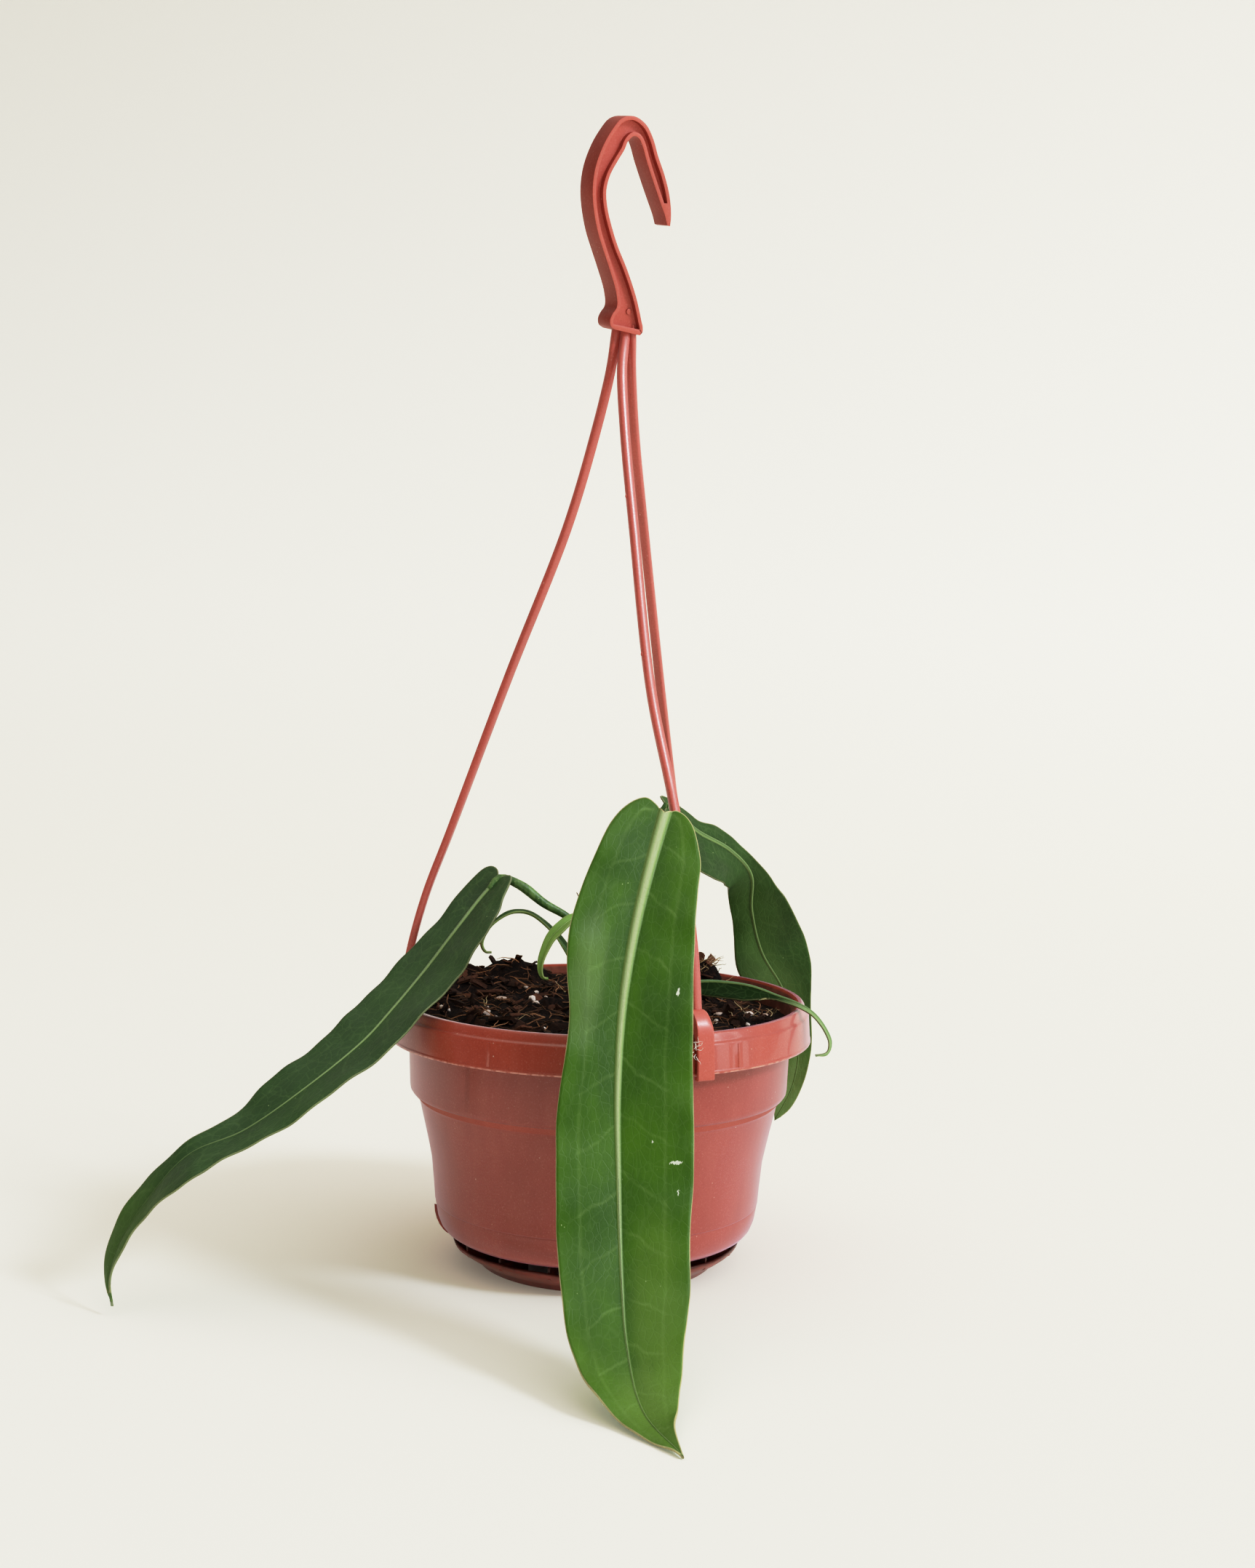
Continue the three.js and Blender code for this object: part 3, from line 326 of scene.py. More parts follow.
class Value:
    def __init__(self, graph, socket):
        self.graph = graph
        self.socket = socket

    def math(self, operation, *others):
        values = dict(enumerate((self, *others)))
        return self.graph.node("ShaderNodeMath", {"operation": operation}, values)

    def __add__(self, other):
        return self.math("ADD", other)

    def __sub__(self, other):
        return self.math("SUBTRACT", other)

    def __mul__(self, other):
        return self.math("MULTIPLY", other)

    def __truediv__(self, other):
        return self.math("DIVIDE", other)

    def __rsub__(self, other):
        return self * -1 + other

    def __abs__(self):
        return self.math("ABSOLUTE")

    __radd__ = __add__
    __rmul__ = __mul__


class Graph:
    """A node tree that values are added to."""

    def __init__(self, tree):
        self.tree = tree

    def feed(self, socket, value):
        if isinstance(value, Value):
            self.tree.links.new(value.socket, socket)
        else:
            socket.default_value = value

    def node(self, kind, settings, inputs, output=0):
        made = self.tree.nodes.new(kind)
        for name, value in settings.items():
            setattr(made, name, value)
        for key, value in inputs.items():
            self.feed(made.inputs[key], value)
        return Value(self, made.outputs[output])

    def mix(self, factor, *tones):
        """Mixes two colours. A tuple is a tone from 0 to 255, and a list is a linear colour."""
        first, second = (paint(*tone) if isinstance(tone, tuple) else tone for tone in tones)
        inputs = {0: factor, 6: first, 7: second}
        return self.node("ShaderNodeMix", {"data_type": "RGBA"}, inputs, 2)

    def parts(self, vector):
        return [self.node("ShaderNodeSeparateXYZ", {}, {"Vector": vector}, axis) for axis in "XYZ"]


class Finish(Graph):
    def __init__(self, name, **surface):
        self.material = bpy.data.materials.new(name)
        self.material.use_nodes = True
        super().__init__(self.material.node_tree)
        self.shader = self.tree.nodes["Principled BSDF"]
        self.where = self.node("ShaderNodeTexCoord", {}, {}, "Object")
        self.surface(**surface)

    def surface(self, **inputs):
        for name, value in inputs.items():
            self.feed(self.shader.inputs[name.replace("_", " ").title().replace("Ior", "IOR")], value)

    def colours(self, factor, first, second):
        """Starts the colour with two tones."""
        self.colour = first
        self.lay(factor, second)

    def lay(self, factor, tone):
        """Lays a tone over the colour where the factor is high."""
        self.colour = self.mix(factor, self.colour, tone)
        self.surface(base_color=self.colour)

    def noise(self, size, where=None, detail=3.0, unit=MM, rough=0.55, twist=0.0):
        inputs = {"Vector": where or self.where, "Scale": 1 / (size * unit), "Detail": detail}
        inputs |= {"Roughness": rough, "Distortion": twist}
        return self.node("ShaderNodeTexNoise", {}, inputs)

    def cells(self, size, feature="F1", where=None, unit=MM):
        inputs = {"Vector": where or self.where, "Scale": 1 / (size * unit)}
        return self.node("ShaderNodeTexVoronoi", {"feature": feature}, inputs, "Distance")

    def step(self, value, low, high):
        """0 below low and 1 above high, smooth between. With low above high it runs down."""
        inputs = {"Value": value, "From Min": low, "From Max": high}
        return self.node("ShaderNodeMapRange", {"interpolation_type": "SMOOTHSTEP"}, inputs)

    def height(self):
        return self.parts(self.where)[2] / MM

    def stretch(self, scale, where=None):
        return self.node("ShaderNodeMapping", {}, {"Vector": where or self.where, "Scale": scale})

    def attribute(self, name, output="Vector"):
        return self.node("ShaderNodeAttribute", {"attribute_name": name}, {}, output)

    def bump(self, height, depth):
        self.surface(normal=self.node("ShaderNodeBump", {}, {"Height": height, "Distance": depth * MM}))


# %% Dressing a piece
def dress(piece, finish, slot, *nodes):
    """Gives a piece its finish, fixes it to the root body, and hides the solids that it stands for."""
    if finish:
        piece.data.materials.append(finish.material)
    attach(piece, "root")
    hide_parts(*nodes)
    print(piece.name, len(piece.data.polygons), "faces")


# %% [markdown]
# ## The studio
#
# A pale cream sheet runs up behind the plant with no line between floor and wall. A
# plane is added, and its back edge is spun up through a quarter turn. A broad soft
# window stands to the right and a little to the front. It is a sun lamp with a wide
# angle, which has the same strength everywhere, and a pale room fills the shadows.

# %% Floor and backdrop
floor_width, floor_front, floor_back = 9000, -3000, 1100
bend_radius = 1200
wall_height = 500  # above the bend

floor = new_piece("studio_floor", bpy.ops.mesh.primitive_plane_add, size=2)
floor_middle = Matrix.Translation((0, (floor_front + floor_back) / 2 * MM, 0))
floor_size = Matrix.Diagonal((floor_width / 2 * MM, (floor_back - floor_front) / 2 * MM, 1, 1))
place(floor, floor_middle @ floor_size)
with edit_mode(floor):
    mesh = bmesh.from_edit_mesh(floor.data)
    bpy.ops.mesh.select_mode(type="EDGE")
    for edge in mesh.edges:
        edge.select_set(all(corner.co.y > floor_back * MM - MM for corner in edge.verts))
    bend_centre = (0, floor_back * MM, bend_radius * MM)
    bpy.ops.mesh.spin(steps=48, angle=-math.pi / 2, center=bend_centre, axis=(1, 0, 0))
    extrude(0, 0, wall_height)
face_out(floor)
smooth(floor)

sheet = Finish("cream_sheet", roughness=0.9, specular_ior_level=0.1)
# Painted light: the sheet is painted lighter with height, where less light reaches it.
sheet.colours(sheet.step(sheet.height(), 0, 250), (231, 228, 215), (238, 235, 223))
sheet.lay(sheet.step(sheet.height(), 300, 1100), (241, 237, 225))
sheet.surface(emission_color=(0.13, 0.124, 0.106, 1), emission_strength=1.0)
floor.data.materials.append(sheet.material)
print("floor top:", max(v.co.z for v in floor.data.vertices))

# %% Light
window_azimuth, window_height = -30, 35  # degrees
window_spread = 11  # degrees, how wide the window looks from the plant
window_strength = 1.75
window_colour = (0.8, 0.89, 1.0)
glow_azimuth, glow_height = -22, 27  # degrees
window_panes = ((-21, 3.9), (-6.3, 2.5))  # azimuth and half width, degrees
pane_low, pane_high = -0.3, 0.72
warm, cool = [1.0, 0.945, 0.84, 1], [0.93, 0.95, 1.0, 1]


def toward(azimuth, height):
    azimuth, height = math.radians(azimuth), math.radians(height)
    flat = math.cos(height)
    return Vector((math.cos(azimuth) * flat, math.sin(azimuth) * flat, math.sin(height)))


bpy.ops.object.light_add(type="SUN")
window = bpy.context.object
window.rotation_euler = toward(window_azimuth, window_height).to_track_quat("Z", "Y").to_euler()
window.data.energy = window_strength
window.data.angle = math.radians(window_spread)
window.data.color = window_colour

room = bpy.data.worlds.new("pale_room")
room.use_nodes = True
graph = Graph(room.node_tree)
outlook = graph.node("ShaderNodeTexCoord", {}, {}, "Generated")
to_right, to_back, lifted = graph.parts(outlook)
turned_to = to_back.math("ARCTAN2", to_right) * (180 / math.pi)
above = lifted.math("MAXIMUM", 0.0).math("POWER", 3.0)
ways = {0: outlook, 1: tuple(toward(glow_azimuth, glow_height))}
beside_window = graph.node("ShaderNodeVectorMath", {"operation": "DOT_PRODUCT"}, ways, "Value")
glow = beside_window.math("MAXIMUM", 0.0).math("POWER", 4.0)


def pane(azimuth, half_width):
    """A bright upright pane of the window, for the reflections on glossy plastic."""
    beside = abs(turned_to - azimuth).math("LESS_THAN", half_width)
    return beside * lifted.math("GREATER_THAN", pane_low) * lifted.math("LESS_THAN", pane_high)


first_pane, second_pane = (pane(*sizes) for sizes in window_panes)
backing = room.node_tree.nodes["Background"]
graph.feed(backing.inputs["Color"], graph.mix(glow, warm, cool))
graph.feed(backing.inputs["Strength"], above * 1.45 + glow * 1.35 + (first_pane + second_pane) * 2.4 + 0.19)
bpy.context.scene.world = room
print("lamp and room:", window.name, "and", room.name)

# %% [markdown]
# A camera film answers light with a curve: it deepens the darks a little and holds the
# brightest tones back. The same gentle curve is set for the picture here.

# %% Tone curve
view = bpy.context.scene.view_settings
view.view_transform = "Standard"
view.use_curve_mapping = True
brightest = 2.0
view.curve_mapping.white_level = (brightest,) * 3
tone_curve = view.curve_mapping.curves[3]
dark_tones = ((0.05, 0.03), (0.15, 0.11), (0.3, 0.245))
light_tones = ((0.5, 0.47), (0.75, 0.66), (1.05, 0.8), (1.5, 0.92))
for light, shown in dark_tones + light_tones:
    tone_curve.points.new(light / brightest, shown)
view.curve_mapping.update()
print("tone curve:", len(tone_curve.points), "points")

# %% [markdown]
# ## Finish of the moulded plastic
#
# The pot and the hanger are polypropylene in a terracotta colour. It is satin: light
# spreads in it, and it turns whitish at grazing angles. Fine dust and faint flow marks
# from the mould break up the even colour. The thin skirt of the rim lets light through,
# so it is glossier and more orange than the body. The slanted step, the hanger's sides
# and its channel are dull. Light is painted into some colours: a glow at the pot's foot,
# the step's own tone that evens out the light on it, a darker left side of the hook as
# painted shade, paler straps as painted light through them, and a dark inner wall as
# painted shade.

# %% Plastic
skirt_low = 81.4
pot_low, pot_high = (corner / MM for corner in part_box("pot"))
pot_underside = pot_low.z
rim_tone = (172, 68, 44)


def plastic(name, shade, roughness, haze, coat, marks=None, coat_blur=0.06):
    finish = Finish(name, coat_roughness=coat_blur, coat_ior=1.6, coat_weight=coat)
    cloudy = finish.noise(26, detail=2)
    speckle = finish.noise(0.55, detail=2)
    flow = finish.noise(5, finish.stretch((1, 1, 0.12)), 4)
    dust = finish.step(finish.cells(2.8), 0.11, 0.05) * finish.step(finish.noise(9), 0.54, 0.66)
    scratch = finish.noise(3.5, finish.stretch((1, 1, 3)), twist=1.5)
    scratch = finish.step(abs(scratch - 0.5), 0.008, 0.0) * finish.step(cloudy, 0.52, 0.64)

    deep = [c * 0.88 for c in paint(*shade)[:3]] + [1]
    finish.colours(finish.step(cloudy, 0.3, 0.7), deep, shade)
    if marks:
        marks(finish, flow)
    finish.lay(finish.step(flow, 0.35, 0.8) * 0.05, (225, 150, 130))
    finish.lay(finish.step(speckle, 0.55, 0.75) * 0.16, (222, 160, 145))
    finish.lay(finish.step(speckle, 0.45, 0.3) * 0.16, (96, 34, 26))
    finish.lay(scratch * 0.14, (225, 178, 165))
    finish.lay(dust * 0.55, (230, 205, 190))
    finish.surface(sheen_weight=haze, sheen_roughness=0.4, sheen_tint=paint(216, 204, 248))
    finish.surface(roughness=roughness + cloudy * 0.06 + speckle * 0.04 + dust * 0.2)
    finish.bump(speckle * 0.35 + flow * 0.5 + scratch * 0.3, 0.035)
    return finish


def body_marks(finish, flow):
    """Painted glow at the foot, a smear on the left, and painted shade along the crease of the step."""
    across, away, up = (axis / MM for axis in finish.parts(finish.where))
    # Painted glow: the foot is tinted towards the rim's orange, as if lit through the thin wall.
    finish.lay(finish.step(up, 17.0, pot_underside + 0.6) * 0.6, rim_tone)
    smear = finish.step(abs(across + 43.3 + flow * 0.8), 1.3, 0.3) * finish.step(away, 0.0, -2.0)
    finish.lay(smear * finish.step(up, 61.0, 70.0) * 0.3, (104, 34, 28))
    # Painted shade: a thin dark line along the crease of the step.
    finish.lay(finish.step(abs(up + flow * 0.3 - 62.3), 0.4, 0.1) * 0.25, (80, 28, 24))


def rim_marks(finish, flow):
    """A pale line runs along the lowest edge of the skirt."""
    pale_line = finish.step(finish.height(), skirt_low + 0.8, skirt_low + 0.2)
    finish.lay(pale_line * finish.step(finish.noise(2.4) + flow * 0.3, 0.5, 0.75) * 0.6, (226, 168, 150))


pot_plastic = plastic("pot_plastic", (160, 74, 64), 0.28, 0.42, 0.05, body_marks)
# Painted light: the step's tone differs from the body's to even out the floor light on its down-facing
# face.
step_plastic_painted_light = plastic("step_plastic_painted_light", (170, 81, 69), 0.6, 0.0, 0.0)
rim_plastic = plastic("rim_plastic", rim_tone, 0.28, 0.6, 0.45, rim_marks)
hanger_plastic = plastic("hanger_plastic", (194, 88, 72), 0.3, 0.06, 0.12, coat_blur=0.15)
# Painted shade: a darker copy of the hanger plastic for the hook's left sides.
hanger_side_painted_shade = plastic("hanger_side_painted_shade", (156, 60, 47), 0.45, 0.0, 0.0)
# Painted light: a paler, pinker copy of the hanger plastic, for light through the thin straps.
strap_plastic_painted_light = plastic("strap_plastic_painted_light", (194, 94, 82), 0.28, 0.2, 0.22, coat_blur=0.12)
hanger_channel = plastic("hanger_channel", (190, 84, 70), 0.4, 0.0, 0.0)

# Painted shade: the inner wall is painted dark brown for the shade inside the pot.
inner_wall_painted_shade = Finish("inner_wall_painted_shade", roughness=0.75, specular_ior_level=0.2)
inner_mottle = inner_wall_painted_shade.step(inner_wall_painted_shade.noise(6, detail=4), 0.35, 0.7)
inner_wall_painted_shade.colours(inner_mottle, (94, 50, 38), (122, 70, 54))
inner_wall_painted_shade.lay(inner_wall_painted_shade.step(inner_wall_painted_shade.height(), 93.9, 94.3) * 0.5, rim_tone)
print("finishes so far:", ", ".join(sorted(m.name for m in bpy.data.materials)))

# %% [markdown]
# ## The pot
#
# The wall is thin, and it steps out twice: once at two thirds of its height, and once
# at the rim, whose skirt hangs free over the wall. The skirt has a low shoulder under
# its top edge. The whole section is given at once and turned. The driving sizes are read
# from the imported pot.

# %% Pot body
rim = pot_high.y  # the radius at the skirt
lip = pot_high.z
base_line = 22.3

pot_outside = [
    (0, pot_underside), (50.4, pot_underside), (52.5, 11.5), (54.2, 12.6), (55.5, 14.2), (56.6, 17),
    (57.45, base_line - 0.5), (57.3, base_line), (57.65, base_line + 0.4), (58.2, 29.2), (59.1, 38),
    (60.3, 43.8), (61.5, 49.2), (62.7, 54.4), (63.6, 58.4), (64, 59.5), (66.3, 62), (66.85, 62.8),
    (67.05, 64), (67.6, 79), (68.2, 91.4),
]
pot_skirt = [
    (72.9, 91.2), (73.5, skirt_low + 0.2), (73.7, skirt_low), (rim - 0.1, skirt_low),
    (rim, skirt_low + 0.3), (rim - 0.05, skirt_low + 0.9), (rim - 0.25, skirt_low + 1.2), (74.2, 90.6),
    (73.95, 91.3), (73.2, 91.8), (72.95, 92.4), (72.5, lip - 0.7), (72.1, lip - 0.15), (71.5, lip),
    (70.4, lip - 0.05), (69.6, lip - 0.6), (67.9, 92),
]
pot_inside = [
    (66.1, 79), (65.6, 66), (65.2, 62.2), (64.5, 61), (61.2, 56.3), (59.6, 49.6), (57.8, 40),
    (56.7, 29.4), (56, 21.8), (55.1, 17.6), (53.6, 14.6), (50.8, 12.9), (0, 12.9),
]
pot = turned("pot_body", pot_outside + pot_skirt + pot_inside, 180)
print("pot:", round(rim, 2), "mm to the skirt,", len(pot.data.polygons), "faces")

# %% [markdown]
# The steel mould leaves upright marks on the skirt where its parts met. Each mark is a
# narrow strip: two cuts with the bisect operator bound it, and its faces are pushed out.

# %% Mould marks on the skirt
mark_angles = (-51.6, -119.0, 61.0, 128.4)  # degrees from +X
mark_half_width = 0.45
mark_height = 0.2


def on_skirt(centre, normal):
    level = skirt_low + 1.3 < centre.z < 90.5
    return level and math.hypot(centre.x, centre.y) > 73.4 and normal.z > -0.5


for angle in mark_angles:
    outwards = outward(angle)
    across = outward(angle + 90)

    def near_mark(centre, normal, reach=4.0):
        return on_skirt(centre, normal) and abs(centre.dot(across)) < reach and centre.dot(outwards) > 0

    with edit_mode(pot):
        for side in (-1, 1):
            choose_faces(pot, near_mark)
            bpy.ops.mesh.bisect(plane_co=across * side * mark_half_width * MM, plane_no=across)
        choose_faces(pot, lambda centre, normal: near_mark(centre, normal, mark_half_width))
        extrude(*outwards * mark_height)

soften(pot, 0.22)
print("pot with its marks:", len(pot.data.polygons), "faces")

# %% [markdown]
# Three thin fins stand on the lower wall, near the clips of the straps. They stiffen the
# foot when pots are stacked. Each is a small plate whose inner edge lies in the wall.

# %% Fins at the foot
fin_outline = [
    (57, 19.8), (57.9, 20.1), (57.7, 17.6), (57, 15), (55.9, 12.7), (54.6, 10.9), (53.2, 9.6), (51.8, 9.2),
    (51, 10.2), (53.5, 12.5), (55.5, 15),
]
fin_angles = (186, -66, 60)  # degrees from +X
fin_thickness = 0.8
inner_reach, skirt_reach, step_reach = 72, 68.6, 63  # radii that tell the parts of the pot apart
step_low, step_high = 59, 62.2

fins = []
for angle in fin_angles:
    fin = plate("pot_fin", fin_outline, fin_thickness)
    place(fin, around(angle))
    soften(fin, 0.15)
    fins.append(fin)
pot = join("pot_body", [pot, *fins])
for finish in (pot_plastic, rim_plastic, inner_wall_painted_shade, step_plastic_painted_light):
    pot.data.materials.append(finish.material)
# Index 2 is the inner wall's painted shade, and index 3 the step's painted light.
for face in pot.data.polygons:
    x, y, z = face.center / MM
    radius = math.hypot(x, y) + 0.001
    if (x * face.normal.x + y * face.normal.y) / radius < -0.2 and radius < inner_reach:
        face.material_index = 2
    elif radius > skirt_reach and z > skirt_low - 0.5:
        face.material_index = 1
    elif radius > step_reach and step_low < z < step_high and face.normal.z < -0.3:
        face.material_index = 3
dress(pot, None, "pot_plastic", "pot")

# %% [markdown]
# ## The saucer
#
# The saucer is clipped under the pot, and a dark slot stays open between them. Thin ribs
# cross the slot. Its rim was trimmed by hand and isn't even: it dips in places, most on
# the left. The dish is turned, its rim is then moved by a smooth function of the angle,
# and one rib is modelled and copied round.

# %% Saucer
saucer_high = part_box("saucer")[1] / MM
saucer_rim, saucer_foot = 51.3, 42
rib_count = 16
rib_first = 4.5  # degrees from +X
rib_top = pot_underside - 0.3

saucer_profile = [
    (0, 0.9), (saucer_foot - 3.4, 0.9), (saucer_foot - 2.6, 0.1), (saucer_foot - 2, 0),
    (saucer_foot - 0.5, 0), (saucer_foot, 0.4), (43.4, 2.2), (45.4, 3.4), (47.6, 4.7), (49.4, 6),
    (50.5, 7.1), (51, 8), (saucer_rim, 8.8), (50.9, 9.1), (50.2, 8.9), (49.2, 7.2), (46.8, 5.6),
    (42.4, 3.7), (41.4, 2.4), (0, 2.4),
]
dish = turned("saucer_dish", saucer_profile, 180)


def rim_dip(angle):
    """How far the trimmed rim lies under its true height, in millimetres."""
    wave = 0.35 * math.sin(3 * angle + 0.6) + 0.25 * math.sin(7 * angle) + 0.12 * math.sin(17 * angle)
    notch = 1.5 * math.exp(-(((math.degrees(angle) + 157) / 9) ** 2))
    return 0.45 + wave + notch


for corner in dish.data.vertices:
    radius = math.hypot(corner.co.x, corner.co.y) / MM
    share = max(0.0, (radius - 49) / (saucer_rim - 49)) * max(0.0, (corner.co.z / MM - 5.4) / 3.4)
    corner.co.z -= share * rim_dip(math.atan2(corner.co.y, corner.co.x)) * MM
soften(dish, 0.2)

rib_outline = [(36, 2), (47.2, 4.6), (50, 6.2), (50.3, rib_top - 1), (49.8, rib_top), (36, rib_top)]
rib = plate("saucer_rib", rib_outline, 0.9)
soften(rib, 0.12)
ribs = []
for k in range(rib_count):
    copy = rib.copy()
    copy.data = rib.data.copy()
    bpy.context.collection.objects.link(copy)
    place(copy, around(rib_first + k * 360 / rib_count))
    ribs.append(copy)
bpy.data.objects.remove(rib)
saucer = join("saucer_dish", [dish, *ribs])
print("saucer rim:", saucer_rim, "mm, and", round(saucer_high.y, 1), "mm in the solid")

saucer_plastic = Finish("saucer_plastic", roughness=0.36, specular_ior_level=0.3, coat_weight=0.06)
grime_and_shade_edge = saucer_plastic.noise(4, detail=4)
saucer_plastic.colours(saucer_plastic.step(grime_and_shade_edge, 0.35, 0.7) * 0.6, (134, 60, 48), (98, 46, 36))
# Painted shade: the top of the rim, in the slot under the pot, is painted almost black.
slot_painted_shade = saucer_plastic.step(saucer_plastic.height() + grime_and_shade_edge * 1.4, 8.2, 9.6)
saucer_plastic.lay(slot_painted_shade * 0.85, (48, 22, 16))
saucer_plastic.bump(grime_and_shade_edge, 0.05)
dress(saucer, saucer_plastic, "pot_plastic", "saucer")

# %% [markdown]
# ## The hook
#
# The hook is an open moulding: a flat bar with a raised rim along both edges and a
# channel between them, which saves plastic. A grid one face wide is laid between its
# two edge lines, extruded to its thickness, and on both sides inset and pushed in. Its
# lower end swells to a foot, from which the straps hang.

# %% Hook
hook_thickness = 8
hook_turn, hook_lean = math.radians(33), math.radians(10)
hook_origin = Vector((4.6, 0, 332.4))
recess_rim = 1.3
recess_depth = 2.0

# Left edge and right edge from the foot to the tip, in the hook's own plane
hook_left = [
    (-7, -3.3), (-8.9, -2.3), (-9.5, -0.4), (-8.9, 1.6), (-7.3, 4.4), (-8.4, 9.4), (-12, 16.6),
    (-15.2, 22.4), (-18.4, 28.5), (-21.1, 36.1), (-22.3, 42.6), (-22, 49.4), (-19.8, 56.7), (-17, 62),
    (-13.8, 66), (-9.2, 67.4), (-4, 65.4), (-0.4, 61.1), (2.4, 55.7), (6, 49.7), (9.1, 42.8),
    (10.5, 36.8), (10.6, 33.4),
]
hook_right = [
    (3.4, -4.4), (4.3, -3.3), (4.2, -1.6), (3.3, 0.6), (2.2, 3.4), (-0.2, 8.8), (-5.2, 17.6),
    (-9.6, 24.2), (-12.9, 30.3), (-15.7, 36.8), (-16.8, 42.2), (-16, 47.2), (-13.6, 52.2), (-11.4, 56.2),
    (-10.4, 59), (-8.3, 61), (-6.2, 60.6), (-4.4, 58.4), (-2.2, 54), (1.3, 47.8), (4.8, 41.9),
    (7.9, 36.8), (9.4, 33.6),
]
hook_rows = 88
first_row, last_row = 0.5, 20.6  # where the channel runs, counted in points of the edges

hook_across = Vector((math.cos(hook_turn), math.sin(hook_turn), 0))
hook_forward = Vector((math.sin(hook_turn), -math.cos(hook_turn), 0))
hook_up = Vector((0, 0, math.cos(hook_lean))) + hook_forward * math.sin(hook_lean)
hook_axes = Matrix((hook_across, hook_up, hook_across.cross(hook_up))).transposed().to_4x4()

left_edge, right_edge = SmoothPath(hook_left), SmoothPath(hook_right)
grid = {"x_subdivisions": 1, "y_subdivisions": hook_rows, "size": 1}
hook = new_piece("hanger_hook", bpy.ops.mesh.primitive_grid_add, **grid)
row_of = hook.data.attributes.new("row", "FLOAT", "POINT")
for corner in hook.data.vertices:
    share = corner.co.y + 0.5
    row_of.data[corner.index].value = share * (len(hook_left) - 1)
    x, y = (left_edge if corner.co.x < 0 else right_edge).at(share)
    corner.co = Vector((x, y, -hook_thickness / 2)) * MM

with edit_mode(hook):
    extrude(0, 0, hook_thickness)
    bpy.ops.mesh.select_all(action="SELECT")
    bpy.ops.mesh.normals_make_consistent(inside=False)
    for side in (-1, 1):
        mesh = bmesh.from_edit_mesh(hook.data)
        row = mesh.verts.layers.float["row"]
        bpy.ops.mesh.select_mode(type="FACE")
        for face in mesh.faces:
            rows = [corner[row] for corner in face.verts]
            inside = first_row <= min(rows) and max(rows) <= last_row
            on_top = all(corner.co.z * side > (hook_thickness / 2 - 0.1) * MM for corner in face.verts)
            face.select_set(inside and on_top)
        bpy.ops.mesh.inset(thickness=recess_rim * MM, depth=0, use_even_offset=True)
        extrude(0, 0, -side * recess_depth)
soften(hook, 0.45)
print("hook:", round(left_edge.length), "mm along its outer edge")

# %% Mark in the hook's channel
channel_height = hook_thickness / 2 - recess_depth
ejector_size = {"vertices": 28, "radius": 1.0 * MM, "depth": 0.9 * MM}
ejector_place = Vector((-1.2, 3.2, channel_height)) * MM
ejector_add = bpy.ops.mesh.primitive_cylinder_add
ejector = new_piece("hook_mark", ejector_add, location=ejector_place, **ejector_size)
bpy.ops.object.transform_apply(location=True)
soften(ejector, 0.15)

hook = join("hanger_hook", [hook, ejector])
for finish in (hanger_plastic, hanger_side_painted_shade, hanger_channel):
    hook.data.materials.append(finish.material)
for face in hook.data.polygons:
    # Painted shade: side faces that look to the hook's left take the darker plastic.
    if abs(face.normal.z) < 0.5:
        face.material_index = int(face.normal.x < 0)
    elif abs(face.center.z) < (channel_height + 0.2) * MM:
        face.material_index = 2
place(hook, Matrix.Translation(hook_origin * MM) @ hook_axes)
dress(hook, None, "hanger_plastic", "hanger")

# %% [markdown]
# ## The straps and their clips
#
# Each strap is moulded in one with its clip. Its section is a low arch: flat towards the
# plant and rounded outside, so that it holds a long bright line. The section is swept
# along the same path as the solid. Small nubs on the side are where the straps were cut
# from the sprue. The clip is a plate with the hooked section of the solid, and its right
# shoulder is rounded off.

# %% Straps
strap_width, strap_thickness = 3.3, 2.7
strap_steps = 90
clip_angles = {"left": 177, "front": -63, "back": 61}  # degrees from +X
strap_points = {
    "left": [
        (1.2, 0.1, 331), (0.7, 0.1, 326.8), (-0.7, 0.2, 315.8), (-5.5, 0.6, 294.2), (-14.8, 1.2, 260.9),
        (-34.3, 2, 208.8), (-54.5, 3, 152.6), (-62.8, 3.3, 130), (-67.9, 3.6, 111), (-70.2, 3.7, 98.2),
    ],
    "front": [
        (4, -0.6, 331), (4, -0.9, 326.8), (3.2, -4.1, 315.4), (4.6, -10.4, 293.5), (8.2, -19.7, 260.7),
        (15, -35.4, 205.6), (23.6, -46.6, 166.1), (30.2, -58.4, 121.8), (31.9, -62.9, 98.2),
    ],
    "back": [
        (6, 0.5, 331), (6.3, 0.8, 327), (6.5, 3.7, 316.3), (8.1, 9.3, 295.2), (12.2, 18.2, 262.1),
        (20, 34, 203), (27.4, 47.6, 151), (32.4, 57, 115), (34.2, 61.8, 98.2),
    ],
}
strap_turns = {"left": 60, "front": 0, "back": 0}  # degrees, at the upper end
nub_heights = {"left": (), "front": (271, 217.6), "back": (270,)}


def strap_section(ring):
    """Turns the ring into an arch: X is the width, Y the thickness, rounded on the outside."""
    power = 0.62 if ring.y > 0 else 0.4
    x = math.copysign(abs(ring.x) ** 0.75, ring.x) * strap_width / 2
    y = math.copysign(abs(ring.y) ** power, ring.y) * strap_thickness / 2
    return Vector((x, y, 0))


def nub(path, height, side):
    centre = Vector(path.at(np.interp(-height, -path.at(path.shares)[:, 2], path.shares)))
    centre += side * strap_width / 2 * (1 if side.x < 0 else -1)
    settings = {"subdivisions": 2, "radius": 0.62 * MM, "location": centre * MM, "scale": (0.8, 0.8, 1.2)}
    made = new_piece("nub", bpy.ops.mesh.primitive_ico_sphere_add, **settings)
    bpy.ops.object.transform_apply(location=True, scale=True)
    return made


